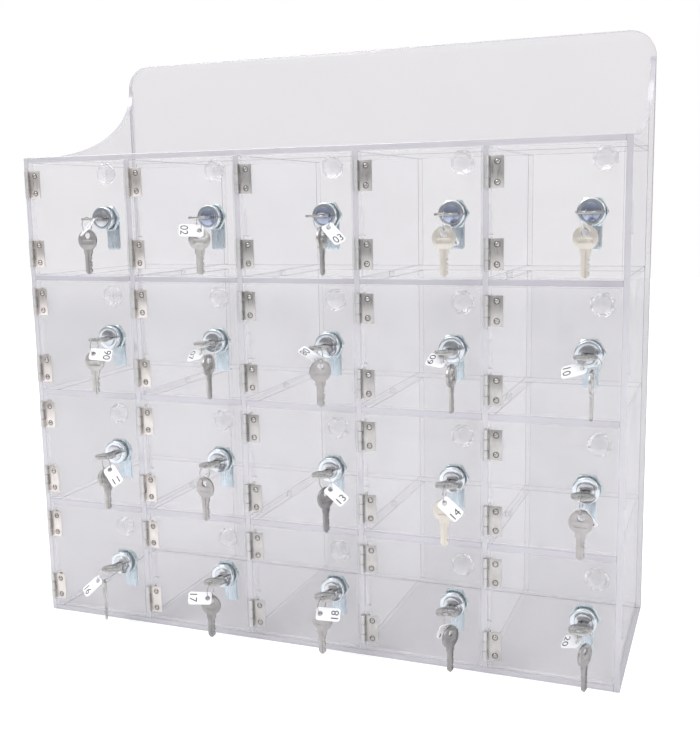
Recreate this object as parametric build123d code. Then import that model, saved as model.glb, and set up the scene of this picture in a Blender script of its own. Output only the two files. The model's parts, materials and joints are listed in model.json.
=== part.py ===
from build123d import *
from math import acos, atan2, cos, degrees, hypot, radians, sin, sqrt
import os

# Clear acrylic key locker: twenty hinged doors in five columns and four rows.
# Millimetres, +Z up, +X to the right of a person facing the doors, doors face -Y.
# The origin is the centre of the underside of the case.

# Case
columns = 5
rows = 4
cell_width = 105.0
cell_height = 105.0
sheet = 5.0
case_depth = 190.0
header_rise = 103.0
header_corner = 24.0
lap_clearance = 0.1

# Doors
door_sheet = 5.0
door_gap_hinge = 1.3
door_gap_lock = 1.2
door_gap_ends = 1.0
door_edge_round = 0.4

# Hinges
leaf_height = 25.4
leaf_sheet = 0.8
leaf_width = 11.2
leaf_inset = 6.5
barrel_radius = 1.9
barrel_offset_x = 1.1
barrel_offset_y = 2.2
outer_knuckle = 8.0
knuckle_gap = 0.3
pin_radius = 0.8
pin_clearance = 0.05
leaf_step = 0.3

# Hinge screws
screw_radius = 1.0
screw_hole_clearance = 0.05
screw_head_radius = 2.1
screw_head_rise = 1.1
screw_length = 3.6
screw_hole_extra = 0.3
screw_end_inset = 4.6

# Pulls
knob_from_lock_side = 14.0
knob_from_top = 12.5
knob_facets = 8
knob_across = 19.0
knob_waist = 11.0
knob_crown = 10.5
knob_stem_rise = 2.5
knob_flare_rise = 6.0
knob_crown_rise = 4.5

# Locks
lock_from_hinge_side = 80.0
flange_radius = 11.0
flange_rise = 2.6
body_radius = 8.8
body_hole_clearance = 0.1
body_length = 14.0
plug_head_radius = 7.2
plug_head_sheet = 2.0
plug_head_proud = 0.7
plug_radius = 6.0
plug_clearance = 0.05
nut_across_flats = 22.0
nut_sheet = 4.0
nut_clearance = 0.1

# Cams
cam_gap = 0.3
cam_sheet = 2.0
cam_width = 13.0
cam_reach = 29.0
cam_corner = 2.0
cam_square = 7.0
cam_fit = 0.05
stud_radius = 2.6
stud_length = 4.0
stud_nut_across_flats = 9.0
stud_nut_sheet = 2.6
stud_nut_clearance = 0.1
slot_clearance = 1.0
slot_side_clearance = 0.75

# Keys
key_length = 40.0
key_sheet = 2.0
bow_radius = 9.5
key_hole_radius = 3.0
key_hole_from_end = 5.5
neck_width = 8.5
neck_length = 12.0
blade_width = 6.5
blade_tip = 2.2
key_inserted = 16.0
keyway_clearance = 0.15
bitting_depth = 1.2
bitting_pitch = 3.2
bitting_cuts = 4

# Rings and tags
ring_radius = 7.0
ring_wire = 0.5
ring_rest = 0.15
tag_length = 21.0
tag_width = 11.5
tag_sheet = 1.0
tag_corner = 2.5
tag_hole_radius = 2.2
tag_hole_from_end = 3.6
tag_rest = 0.8

# How each key bunch hangs, door by door: turn of the ring about the vertical, place of the tag on
# the ring, swing of the tag about the wire and lean of the tag towards the ring's face, in degrees.
bunches = [
    (0, 46, 88, 35),
    (45, 30, -100, 10),
    (88, 52, -10, 40),
    (8, -40, 20, 15),
    (-6, -32, -25, 20),
    (5, 30, 90, -10),
    (85, -62, 20, -45),
    (42, -50, -110, 30),
    (82, -70, 30, -45),
    (88, -66, 10, -45),
    (66, 50, 0, 40),
    (-8, -32, -20, 20),
    (68, 50, 10, 38),
    (6, 30, 50, 0),
    (0, -38, 25, 15),
    (-62, 50, 0, -38),
    (5, 40, -80, -20),
    (-5, 40, 100, -20),
    (64, -40, 20, 20),
    (66, -60, 15, -40),
]

# Worked out from the sizes above
case_width = columns * cell_width + (columns + 1) * sheet
case_height = rows * cell_height + (rows + 1) * sheet
front = -case_depth / 2
back = case_depth / 2
inner_back = back - sheet
door_width = cell_width - door_gap_hinge - door_gap_lock
door_height = cell_height - 2 * door_gap_ends
lock_to_wall = cell_width - lock_from_hinge_side
cam_front = body_length + cam_gap
cam_back = cam_front + cam_sheet
plug_face = -flange_rise - plug_head_proud
bow_end = plug_face + key_inserted - key_length
key_hole_offset = bow_radius - key_hole_from_end


def block(x0, x1, y0, y1, z0, z1):
    return Pos((x0 + x1) / 2, (y0 + y1) / 2, (z0 + z1) / 2) * Box(x1 - x0, y1 - y0, z1 - z0)


def rod_x(radius, x0, x1, y=0.0, z=0.0):
    return Pos((x0 + x1) / 2, y, z) * Rot(0, 90, 0) * Cylinder(radius, x1 - x0)


def rod_y(radius, y0, y1, x=0.0, z=0.0):
    return Pos(x, (y0 + y1) / 2, z) * Rot(90, 0, 0) * Cylinder(radius, y1 - y0)


def rod_z(radius, z0, z1, x=0.0, y=0.0):
    return Pos(x, y, (z0 + z1) / 2) * Cylinder(radius, z1 - z0)


def hexagon_y(across_flats, y0, y1):
    face = RegularPolygon(across_flats / 2, 6, major_radius=False)
    return Pos(0, y1, 0) * Rot(90, 0, 0) * extrude(face, y1 - y0)


def cell_left(column):
    """The right face of the sheet that the doors of this column hang on."""
    return -case_width / 2 + sheet + column * (cell_width + sheet)


def cell_floor(row):
    """The upper face of the sheet below this row. Row 0 is the top one."""
    return sheet + (rows - 1 - row) * (cell_height + sheet)


def door_corner(column, row):
    """Lower hinge-side corner of the compartment, in the plane of the door's face."""
    return Pos(cell_left(column), front, cell_floor(row))


def lock_centre(column, row):
    return door_corner(column, row) * Pos(lock_from_hinge_side, 0, cell_height / 2)


def hinge_floors():
    """Lower ends of a door's two hinges, above the compartment's floor."""
    low = door_gap_ends + leaf_inset
    return low, cell_height - low - leaf_height


def screw_rows():
    """Heights of a leaf's two screws above the leaf's lower end."""
    return screw_end_inset, leaf_height - screw_end_inset


# Case sheets

def cam_slots(wall_x, column):
    """Slots that take the cams of one column in the wall on its lock side."""
    tip = hypot(cam_reach, cam_width / 2)
    low = sqrt(tip**2 - lock_to_wall**2) + slot_clearance
    high = cam_width / 2 + slot_clearance
    y0 = front + cam_front - slot_side_clearance
    y1 = front + cam_back + slot_side_clearance
    slots = []
    for row in range(rows):
        middle = cell_floor(row) + cell_height / 2
        slots.append(block(wall_x - 1, wall_x + sheet + 1, y0, y1, middle - low, middle + high))
    return slots


def leaf_screw_holes(column):
    """Blind holes for the frame leaves' screws in the wall on the hinge side of a column."""
    holes = []
    radius = screw_radius + screw_hole_clearance
    depth = screw_length - leaf_sheet + screw_hole_extra
    for row in range(rows):
        for low in hinge_floors():
            for rise in screw_rows():
                z = cell_floor(row) + low + rise
                y = front + leaf_screw_depth()
                holes.append(rod_x(radius, cell_left(column) - depth, cell_left(column) + 1, y, z))
    return holes


def leaf_screw_depth():
    """Distance of the frame leaves' screws behind the doors' face: their heads clear the door."""
    return door_sheet + 1.0 + screw_head_radius


def side_sheet(x0):
    """Side panel whose top edge sweeps up from the front corner to the header."""
    sweep = header_rise - header_corner
    with BuildSketch(Plane.YZ) as outline:
        with BuildLine():
            Line((front, 0), (inner_back, 0))
            Line((inner_back, 0), (inner_back, case_height + sweep))
            EllipticalCenterArc(
                (front, case_height + sweep), inner_back - front, sweep, start_angle=-90, arc_size=90
            )
            Line((front, case_height), (front, 0))
        make_face()
    return Pos(x0, 0, 0) * extrude(outline.sketch, sheet)


def make_side_left():
    return side_sheet(-case_width / 2) - leaf_screw_holes(0)


def make_side_right():
    return side_sheet(case_width / 2 - sheet) - cam_slots(case_width / 2 - sheet, columns - 1)


def make_end_panel(z0):
    half = case_width / 2 - sheet
    return block(-half, half, front, inner_back, z0, z0 + sheet)


def make_back_panel():
    """Back sheet that stands above the case as a header with two rounded corners."""
    height = case_height + header_rise
    plate = block(-case_width / 2, case_width / 2, inner_back, back, 0, height)
    corners = plate.edges().filter_by(Axis.Y).group_by(Axis.Z)[-1]
    return fillet(corners, header_corner)


def divider_left(number):
    """Left face of the divider between column number - 1 and column number."""
    return cell_left(number) - sheet


def make_divider(number):
    """Upright sheet, cut from the back to half its depth where the shelves cross it."""
    x0 = divider_left(number)
    plate = block(x0, x0 + sheet, front, inner_back, sheet, case_height - sheet)
    middle = (front + inner_back) / 2
    cuts = []
    for row in range(rows - 1):
        z1 = cell_floor(row)
        cuts.append(
            block(x0 - 1, x0 + sheet + 1, middle, inner_back + 1,
                  z1 - sheet - lap_clearance / 2, z1 + lap_clearance / 2)
        )
    return plate - cuts - cam_slots(x0, number - 1) - leaf_screw_holes(number)


def make_shelf(number):
    """Full-width shelf under row number - 1, cut from the front where the dividers cross it."""
    z1 = cell_floor(number - 1)
    half = case_width / 2 - sheet
    plate = block(-half, half, front, inner_back, z1 - sheet, z1)
    middle = (front + inner_back) / 2
    cuts = []
    for crossing in range(1, columns):
        x0 = divider_left(crossing)
        cuts.append(
            block(x0 - lap_clearance / 2, x0 + sheet + lap_clearance / 2, front - 1, middle,
                  z1 - sheet - 1, z1 + 1)
        )
    return plate - cuts


# Hinges, drawn at the compartment's hinge side with the door's face at y = 0

def knuckle(z0, z1):
    shell = rod_z(barrel_radius, z0, z1, -barrel_offset_x, -barrel_offset_y)
    bore = rod_z(pin_radius + pin_clearance, z0 - 1, z1 + 1, -barrel_offset_x, -barrel_offset_y)
    return shell, bore


def outer_knuckles():
    return (0.0, outer_knuckle), (leaf_height - outer_knuckle, leaf_height)


def frame_leaf():
    """Leaf on the case: it lies on the wall inside the gap and carries two knuckles."""
    plate = block(0, leaf_sheet, leaf_step, leaf_width, 0, leaf_height)
    bores = []
    for z0, z1 in outer_knuckles():
        shell, bore = knuckle(z0, z1)
        neck = block(0, leaf_sheet, -barrel_offset_y, leaf_step, z0, z1)
        plate = plate + shell + neck
        bores.append(bore)
    radius = screw_radius + screw_hole_clearance
    holes = [rod_x(radius, -1, leaf_sheet + 1, leaf_screw_depth(), z) for z in screw_rows()]
    return plate - bores - holes


def door_leaf():
    """Leaf on the door's face, with the middle knuckle."""
    start = barrel_radius - barrel_offset_x + leaf_step
    plate = block(start, start + leaf_width, -leaf_sheet, 0, 0, leaf_height)
    z0 = outer_knuckle + knuckle_gap
    z1 = leaf_height - outer_knuckle - knuckle_gap
    shell, bore = knuckle(z0, z1)
    neck = block(-barrel_offset_x, start, -leaf_sheet, -leaf_sheet / 4, z0, z1)
    radius = screw_radius + screw_hole_clearance
    holes = [rod_y(radius, -leaf_sheet - 1, 1, door_leaf_screw_x(), z) for z in screw_rows()]
    return plate + shell + neck - bore - holes


def door_leaf_screw_x():
    return barrel_radius - barrel_offset_x + leaf_step + leaf_width / 2 + 0.4


def screw_along_y():
    """Round-head screw whose head sits at y = 0 and whose shank points along +Y."""
    radius = (screw_head_radius**2 + screw_head_rise**2) / (2 * screw_head_rise)
    ball = Pos(0, radius - screw_head_rise, 0) * Sphere(radius)
    cap = ball & block(-9, 9, -9, 0, -9, 9)
    slot = block(-screw_head_radius, screw_head_radius, -screw_head_rise - 1,
                 -screw_head_rise * 0.55, -0.25, 0.25)
    return cap + rod_y(screw_radius, 0, screw_length) - slot


def make_hinge_frame_leaves():
    leaves = []
    for column in range(columns):
        for row in range(rows):
            for low in hinge_floors():
                leaves.append(door_corner(column, row) * Pos(0, 0, low) * frame_leaf())
    return leaves


def make_hinge_pins():
    pins = []
    for column in range(columns):
        for row in range(rows):
            for low in hinge_floors():
                pin = rod_z(pin_radius, low, low + leaf_height, -barrel_offset_x, -barrel_offset_y)
                pins.append(door_corner(column, row) * pin)
    return pins


def make_frame_leaf_screws():
    screw = Rot(0, 0, 90) * screw_along_y()
    screws = []
    for column in range(columns):
        for row in range(rows):
            for low in hinge_floors():
                for rise in screw_rows():
                    seat = Pos(leaf_sheet, leaf_screw_depth(), low + rise)
                    screws.append(door_corner(column, row) * seat * screw)
    return screws


# Doors, drawn with the compartment's lower hinge-side corner at the origin

def door_panel():
    x0 = door_gap_hinge
    z0 = door_gap_ends
    plate = block(x0, x0 + door_width, 0, door_sheet, z0, z0 + door_height)
    plate = chamfer(plate.edges().filter_by(Axis.Z), door_edge_round)
    holes = [
        rod_y(body_radius + body_hole_clearance, -1, door_sheet + 1,
              lock_from_hinge_side, cell_height / 2)
    ]
    depth = screw_length - leaf_sheet + screw_hole_extra
    radius = screw_radius + screw_hole_clearance
    for low in hinge_floors():
        for rise in screw_rows():
            holes.append(rod_y(radius, -1, depth, door_leaf_screw_x(), low + rise))
    return plate - holes


def knob():
    """Clear faceted pull: a round stem, a flare with flat facets and a smaller crown."""
    turn = 180.0 / knob_facets
    waist = RegularPolygon(knob_waist / 2, knob_facets, major_radius=False)
    girdle = RegularPolygon(knob_across / 2, knob_facets, major_radius=False)
    crown = RegularPolygon(knob_crown / 2, knob_facets, major_radius=False)
    flare_top = knob_stem_rise + knob_flare_rise
    flare = loft([Pos(0, 0, knob_stem_rise) * waist, Pos(0, 0, flare_top) * girdle], ruled=True)
    head = loft([Pos(0, 0, flare_top) * girdle, Pos(0, 0, flare_top + knob_crown_rise) * crown],
                ruled=True)
    stem = rod_z(knob_waist / 2 - 0.5, 0, knob_stem_rise)
    x = cell_width - knob_from_lock_side
    z = cell_height - knob_from_top
    return Pos(x, 0, z) * Rot(90, 0, 0) * Rot(0, 0, turn) * (stem + flare + head)


def lock_housing():
    """Flanged lock body, pushed through the door from the front."""
    flange = rod_y(flange_radius, -flange_rise, 0)
    rim = flange.edges().filter_by(GeomType.CIRCLE).group_by(Axis.Y)[0]
    flange = fillet(rim, flange_rise * 0.45)
    body = rod_y(body_radius, 0, body_length)
    seat_depth = plug_head_sheet - plug_head_proud
    seat = rod_y(plug_head_radius + plug_clearance, -flange_rise - 1, -flange_rise + seat_depth)
    bore = rod_y(plug_radius + plug_clearance, -flange_rise, body_length + 1)
    return flange + body - seat - bore


def lock_nut():
    nut = hexagon_y(nut_across_flats, door_sheet, door_sheet + nut_sheet)
    return nut - rod_y(body_radius + nut_clearance, door_sheet - 1, door_sheet + nut_sheet + 1)


def make_door(column, row):
    corner = door_corner(column, row)
    at_lock = Pos(lock_from_hinge_side, 0, cell_height / 2)
    pieces = [door_panel(), knob(), at_lock * lock_housing(), at_lock * lock_nut()]
    for low in hinge_floors():
        pieces.append(Pos(0, 0, low) * door_leaf())
        for rise in screw_rows():
            pieces.append(Pos(door_leaf_screw_x(), -leaf_sheet, low + rise) * screw_along_y())
    return [corner * piece for piece in pieces]


# Lock cores, drawn with the lock's axis along Y through the origin

def plug():
    """Turning core: a face disc, the keyed barrel, a square for the cam and a stud."""
    seat_depth = plug_head_sheet - plug_head_proud
    head = rod_y(plug_head_radius, plug_face, -flange_rise + seat_depth)
    barrel = rod_y(plug_radius, -flange_rise + seat_depth, cam_front)
    half = cam_square / 2
    square = block(-half, half, cam_front, cam_back, -half, half)
    stud = rod_y(stud_radius, cam_back, cam_back + stud_length)
    wide = blade_width / 2 + keyway_clearance
    tall = key_sheet / 2 + keyway_clearance
    tip = plug_face + key_inserted
    keyway = block(-wide, wide, plug_face - 1, tip + keyway_clearance, -tall, tall)
    return head + barrel + square + stud - keyway


def cam():
    """Flat tongue that hangs down when the door is unlocked."""
    half = cam_width / 2
    arm = block(-half, half, cam_front, cam_back, -cam_reach, 0)
    arm = fillet(arm.edges().filter_by(Axis.Y).group_by(Axis.Z)[0], cam_corner)
    hole = cam_square / 2 + cam_fit
    opening = block(-hole, hole, cam_front - 1, cam_back + 1, -hole, hole)
    return arm + rod_y(half, cam_front, cam_back) - opening


def stud_nut():
    nut = hexagon_y(stud_nut_across_flats, cam_back, cam_back + stud_nut_sheet)
    return nut - rod_y(stud_radius + stud_nut_clearance, cam_back - 1, cam_back + stud_nut_sheet + 1)


def flat_key():
    """Key in the XZ plane: bow centre at the origin, tip down, hole above the centre."""
    tip = bow_radius - key_length
    half = blade_width / 2
    blade = Polygon(
        (-half, 0), (-half, tip + blade_tip), (-half + blade_tip, tip), (half - blade_tip, tip),
        (half, tip + blade_tip), (half, 0), align=None
    )
    neck = Pos(0, -neck_length / 2) * Rectangle(neck_width, neck_length)
    outline = Circle(bow_radius) + blade + neck - Pos(0, key_hole_offset) * Circle(key_hole_radius)
    for cut in range(bitting_cuts):
        y = -neck_length - bitting_pitch * (cut + 1)
        depth = bitting_depth * (0.6 + 0.4 * (cut % 2))
        outline = outline - Polygon(
            (half + 0.1, y + depth), (half - depth, y), (half + 0.1, y - depth), align=None
        )
    return Pos(0, key_sheet / 2, 0) * Rot(90, 0, 0) * extrude(outline, key_sheet)


def key_in_lock():
    """The key in its keyway, bow flat and level in front of the lock."""
    return Pos(0, bow_end + bow_radius, 0) * Rot(90, 0, 0) * flat_key()


def ring_place(turn):
    """Centre of the split ring: it rests on the strip between the key's hole and the bow's edge."""
    a = radians(turn)
    to_edge = sqrt(bow_radius**2 - (key_hole_offset * sin(a))**2) - key_hole_offset * cos(a)
    reach = (key_hole_radius + to_edge) / 2
    half_strip = (to_edge - key_hole_radius) / 2
    inner = ring_radius - ring_wire
    z = key_sheet / 2 + ring_rest - sqrt(inner**2 - half_strip**2)
    hole_y = bow_end + key_hole_from_end
    return Vector(reach * sin(a), hole_y - reach * cos(a), z)


def ring_plane(turn):
    """Plane of the ring's centre: x away from the key's hole, y up, z along the ring's axis."""
    a = radians(turn)
    return Plane(origin=ring_place(turn), x_dir=(sin(a), -cos(a), 0), z_dir=(-cos(a), -sin(a), 0))


def split_ring(turn):
    return ring_plane(turn).location * Torus(ring_radius, ring_wire)


def spare_key(turn):
    """Second key, hanging by its hole from the lowest point of the ring."""
    drop = ring_radius - ring_wire - ring_rest + key_hole_radius + key_hole_offset
    centre = ring_place(turn) - Vector(0, 0, drop)
    return Pos(*centre) * Rot(0, 0, turn) * flat_key()


def tag(turn, place, swing, lean):
    """Number tag on the ring's wire at an angle from the ring's lowest point."""
    frame = ring_plane(turn)
    p = radians(place)
    outward = frame.x_dir * sin(p) - frame.y_dir * cos(p)
    along = frame.x_dir * cos(p) + frame.y_dir * sin(p)
    n = radians(lean)
    normal = along * cos(n) + frame.z_dir * sin(n)
    side = normal.cross(outward)
    s = radians(swing)
    down = outward * cos(s) + side * sin(s)
    start = frame.origin + outward * ring_radius + down * tag_rest
    flat = Plane(origin=start, x_dir=down, z_dir=normal)
    plate = RectangleRounded(tag_length, tag_width, tag_corner)
    plate = Pos(tag_length / 2 - tag_hole_from_end, 0) * plate - Circle(tag_hole_radius)
    return flat.location * Pos(0, 0, -tag_sheet / 2) * extrude(plate, tag_sheet)


def make_lock(column, row):
    turn, place, swing, lean = bunches[(row * columns + column) % len(bunches)]
    pieces = [plug(), cam(), stud_nut(), key_in_lock(), split_ring(turn), spare_key(turn)]
    pieces.append(tag(turn, place, swing, lean))
    return [lock_centre(column, row) * piece for piece in pieces]


def save(pieces, name):
    if not isinstance(pieces, list):
        pieces = [pieces]
    solids = [solid for piece in pieces for solid in piece.solids()]
    shape = solids[0] if len(solids) == 1 else Compound(children=solids)
    export_step(shape, f"parts/{name}.step")


os.makedirs("parts", exist_ok=True)
save(make_side_left(), "side_left")
save(make_side_right(), "side_right")
save(make_end_panel(0), "bottom_panel")
save(make_end_panel(case_height - sheet), "top_panel")
save(make_back_panel(), "back_panel")
for number in range(1, columns):
    save(make_divider(number), f"divider_{number}")
for number in range(1, rows):
    save(make_shelf(number), f"shelf_{number}")
save(make_hinge_frame_leaves(), "hinge_frame_leaves")
save(make_hinge_pins(), "hinge_pins")
save(make_frame_leaf_screws(), "frame_leaf_screws")
for row in range(rows):
    for column in range(columns):
        number = row * columns + column + 1
        save(make_door(column, row), f"door_{number:02d}")
        save(make_lock(column, row), f"lock_{number:02d}")
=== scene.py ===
import json
import math

import bmesh
import bpy
from bpy.props import FloatProperty, FloatVectorProperty, IntProperty, PointerProperty
from mathutils import Matrix, Vector


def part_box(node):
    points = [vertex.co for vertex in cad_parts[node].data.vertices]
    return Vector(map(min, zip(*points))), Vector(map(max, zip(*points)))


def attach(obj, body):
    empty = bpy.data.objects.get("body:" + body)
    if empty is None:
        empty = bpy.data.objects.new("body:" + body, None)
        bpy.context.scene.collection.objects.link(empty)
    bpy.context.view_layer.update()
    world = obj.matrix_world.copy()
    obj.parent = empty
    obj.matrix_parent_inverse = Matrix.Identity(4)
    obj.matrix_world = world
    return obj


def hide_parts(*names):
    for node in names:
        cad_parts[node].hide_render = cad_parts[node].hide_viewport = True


# Looks of the clear key locker: polished sheets and doors, faceted pulls, plated locks and hinges,
# keys, split rings and numbered tags. Metres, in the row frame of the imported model.

bl_info = {
    "name": "Clear key locker",
    "version": (1, 0, 0),
    "blender": (4, 5, 0),
    "location": "View3D > Sidebar > Locker",
    "description": "Builds the looks of a clear key locker around its packed model",
    "category": "Object",
}

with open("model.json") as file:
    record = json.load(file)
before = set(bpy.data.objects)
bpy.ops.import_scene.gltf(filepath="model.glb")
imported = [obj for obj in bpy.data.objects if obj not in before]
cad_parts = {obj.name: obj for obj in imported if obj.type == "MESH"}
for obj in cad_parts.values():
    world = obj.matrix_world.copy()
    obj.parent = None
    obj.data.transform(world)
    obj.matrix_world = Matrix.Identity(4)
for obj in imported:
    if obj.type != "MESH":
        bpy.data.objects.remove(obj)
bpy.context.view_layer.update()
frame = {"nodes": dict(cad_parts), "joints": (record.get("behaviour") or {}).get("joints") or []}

joint_place = {joint["name"]: Vector(joint["pos_m"]) for joint in frame["joints"]}
door_numbers = [f"{number:02d}" for number in range(1, 21)]
upright_sheets = ["side_left", "side_right", "divider_1", "divider_2", "divider_3", "divider_4"]
level_sheets = ["bottom_panel", "top_panel", "shelf_1", "shelf_2", "shelf_3"]

# How each bunch hangs: turn of the ring about the vertical, place of the tag on the ring, swing of
# the tag about the wire and lean of the tag towards the ring's face, in degrees.
bunches = [
    (0, 46, 88, 35),
    (45, 30, -100, 10),
    (88, 52, -10, 40),
    (8, -40, 20, 15),
    (-6, -32, -25, 20),
    (5, 30, 90, -10),
    (85, -62, 20, -45),
    (42, -50, -110, 30),
    (82, -70, 30, -45),
    (88, -66, 10, -45),
    (66, 50, 0, 40),
    (-8, -32, -20, 20),
    (68, 50, 10, 38),
    (6, 30, 50, 0),
    (0, -38, 25, 15),
    (-62, 50, 0, -38),
    (5, 40, -80, -20),
    (-5, 40, 100, -20),
    (64, -40, 20, 20),
    (66, -60, 15, -40),
]
spare_finishes = {
    "cream": ("04", "05", "14"),
    "grey": ("01", "08", "12", "15", "18"),
    "dark": ("13", "17", "19", "20"),
}
blue_faces = ("02", "03", "04", "05")

# Fits and small forms, in metres, that no setting changes.
hair_gap = 0.00005  # keeps pieces that touch from sharing a plane
leaf_bevel = 0.00018
leaf_overlap = 0.0004  # how far a leaf's neck or tongue reaches into it
nut_bevel = 0.0003
nut_room = 1.01  # a nut's bound beside its flats and corners, so that it trims corners only
key_bevel = 0.00025
key_shoulder = 0.0008
groove_across = 0.0009  # a key's groove beside its middle
core_play = 0.00015  # keyway round the key's blade
shortest_bevelled_edge = 0.0025
sharp_edge = math.radians(40)
along_axis = 0.95  # share of a normal along an axis that counts as square to the sheet


def size(label, text, millimetres):
    return FloatProperty(
        name=label, description=text, default=millimetres * 0.001, min=0.0, soft_max=1.0,
        precision=5, subtype="DISTANCE", unit="LENGTH",
    )


def tint(label, text, colour):
    return FloatVectorProperty(
        name=label, description=text, default=colour, size=3, min=0.0, max=1.0, subtype="COLOR"
    )


def share(label, text, value):
    return FloatProperty(
        name=label, description=text, default=value, min=0.0, max=1.0, subtype="FACTOR"
    )


class SheetSettings(bpy.types.PropertyGroup):
    bevel: size("Edge bevel", "Polished bevel along the sheets' edges", 0.4)
    face_colour: tint("Face colour", "Tint of the sheets' broad faces", (0.74, 0.73, 0.76))
    face_veil: share("Face veil", "How much a broad face hides what is behind it", 0.085)
    edge_colour: tint("Edge colour", "Tint of the shelves' front edges", (0.35, 0.337, 0.39))
    edge_veil: share("Edge veil", "How much a shelf's edge hides what is behind it", 0.84)
    rim_colour: tint("Rim colour", "Tint of the uprights' and outer rims' edges", (0.42, 0.41, 0.455))
    rim_veil: share("Rim veil", "How much an outer rim hides what is behind it", 0.66)
    bond_veil: share("Bond veil", "How much a bonded edge hides what is behind it", 0.08)
    seam_colour: tint("Seam colour", "Tint of the thin lines along bonded joints", (0.18, 0.175, 0.19))
    seam_veil: share("Seam veil", "How much a thin line along a joint hides what is behind it", 0.7)


class DoorSettings(bpy.types.PropertyGroup):
    cell: size("Cell", "Clear width and height of a compartment", 105.0)
    sheet: size("Thickness", "Thickness of a door", 5.0)
    hinge_gap: size("Hinge gap", "Gap on the hinge side", 1.3)
    lock_gap: size("Lock gap", "Gap on the lock side", 1.2)
    end_gap: size("End gap", "Gap above and below the door", 1.0)
    lock_across: size("Lock place", "Lock's axis from the hinge-side wall", 80.0)
    lock_hole: size("Lock hole", "Radius of the hole for the lock", 8.9)
    face_veil: share("Face veil", "How much a door's face hides what is behind it", 0.05)
    edge_veil: share("Edge veil", "How much a door's edge hides what is behind it", 0.28)
    edge_colour: tint("Edge colour", "Tint of the doors' edges", (0.70, 0.69, 0.74))
    knob_across: size("Pull width", "Width of the pull across its facets", 19.0)
    knob_waist: size("Pull waist", "Width of the pull where the flare starts", 11.0)
    knob_crown: size("Pull crown", "Width of the pull's flat front", 10.5)
    knob_stem: size("Pull stem", "Length of the pull's round stem", 2.5)
    knob_flare: size("Pull flare", "Length of the pull's flare", 6.0)
    knob_front: size("Pull front", "Length of the pull's sloped front", 4.5)
    knob_side: size("Pull place", "Pull's centre from the lock-side wall", 14.0)
    knob_drop: size("Pull drop", "Pull's centre below the compartment's top", 12.5)


class HingeSettings(bpy.types.PropertyGroup):
    leaf_height: size("Leaf height", "Height of a leaf", 25.4)
    leaf_sheet: size("Leaf thickness", "Thickness of a leaf", 0.8)
    leaf_width: size("Leaf width", "Width of a leaf", 11.2)
    leaf_inset: size("Leaf inset", "Leaf from the door's end", 6.5)
    barrel: size("Barrel radius", "Outer radius of the knuckles", 1.9)
    barrel_across: size("Barrel across", "Barrel's axis beside the hinge-side wall", 1.1)
    barrel_out: size("Barrel out", "Barrel's axis in front of the door's face", 2.2)
    knuckle: size("Knuckle", "Length of the outer knuckles", 8.0)
    knuckle_gap: size("Knuckle gap", "Gap between knuckles", 0.3)
    pin: size("Pin radius", "Radius of the hinge pin", 0.8)
    step: size("Leaf step", "Leaf's start beside the barrel", 0.3)
    screw_head: size("Screw head", "Radius of a screw's head", 2.1)
    screw_rise: size("Screw rise", "Height of a screw's head", 1.1)
    screw_shank: size("Screw shank", "Radius of a screw's shank", 0.9)
    screw_length: size("Screw length", "Length of a screw's shank", 3.6)
    screw_inset: size("Screw inset", "Screw from the leaf's end", 4.6)
    screw_slot: size("Screw slot", "Width of a screw's slot", 0.5)
    # The dark seat round a screw's head is painted contact shadow, and grime.
    screw_seat: size("Screw seat", "Width of the dark seat round a screw's head", 0.5)
    colour: tint("Grey plating", "Satin nickel of the greyer leaves", (0.41, 0.395, 0.39))
    # Warmer tint and painted light: a lighter copy of the leaf nickel for the two left columns, which
    # makes that side of the case brighter.
    lit_warm_colour: tint("Warm plating", "Satin nickel of the warmer leaves", (0.56, 0.525, 0.505))
    # Painted highlight: the knuckles get a lighter, rougher copy of the leaves' nickel, so the barrels
    # show as a light band.
    barrel_highlight_colour: tint("Barrel plating", "Brighter nickel of the knuckles", (0.50, 0.495, 0.495))


class LockSettings(bpy.types.PropertyGroup):
    flange: size("Flange radius", "Outer radius of the lock's flange", 11.0)
    flange_rise: size("Flange rise", "How far the flange stands in front of the door", 2.6)
    body: size("Body radius", "Radius of the threaded body over its thread", 8.8)
    body_length: size("Body length", "Length of the body behind the door's face", 14.0)
    thread_ridge: size("Thread ridge", "Height of the body's thread", 0.4)
    thread_pitch: size("Thread pitch", "Pitch of the body's thread", 1.0)
    bore: size("Bore radius", "Bore that holds the turning core", 6.05)
    head: size("Face radius", "Radius of the turning face", 7.2)
    head_sheet: size("Face thickness", "Thickness of the turning face", 2.0)
    head_proud: size("Face proud", "How far the turning face stands in front of the flange", 0.7)
    core: size("Core radius", "Radius of the turning core", 6.0)
    nut: size("Nut width", "Body nut across its flats", 22.0)
    nut_sheet: size("Nut thickness", "Thickness of the body nut", 4.0)
    cam_sheet: size("Cam thickness", "Thickness of the cam", 2.0)
    cam_gap: size("Cam gap", "Gap between the body and the cam", 0.3)
    cam_width: size("Cam width", "Width of the cam", 13.0)
    cam_reach: size("Cam reach", "Cam's tip from the lock's axis", 29.0)
    cam_corner: size("Cam corner", "Corner radius of the cam's tip", 2.0)
    square: size("Square", "Width of the square that carries the cam", 7.0)
    stud: size("Stud radius", "Radius of the stud behind the cam", 2.6)
    stud_length: size("Stud length", "Length of the stud behind the cam", 4.0)
    stud_nut: size("Stud nut width", "Cam nut across its flats", 9.0)
    stud_nut_sheet: size("Stud nut thickness", "Thickness of the cam nut", 2.6)
    chrome: tint("Chrome", "Colour of the flange", (0.60, 0.635, 0.675))
    face: tint("Face", "Colour of the turning face", (0.55, 0.56, 0.59))
    blue_face: tint("Blue face", "Colour of the bluer turning faces", (0.375, 0.42, 0.55))
    zinc: tint("Blue zinc", "Colour of the nut and the thread", (0.36, 0.43, 0.455))
    cam: tint("Cam", "Colour of the cam", (0.41, 0.47, 0.52))


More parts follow.
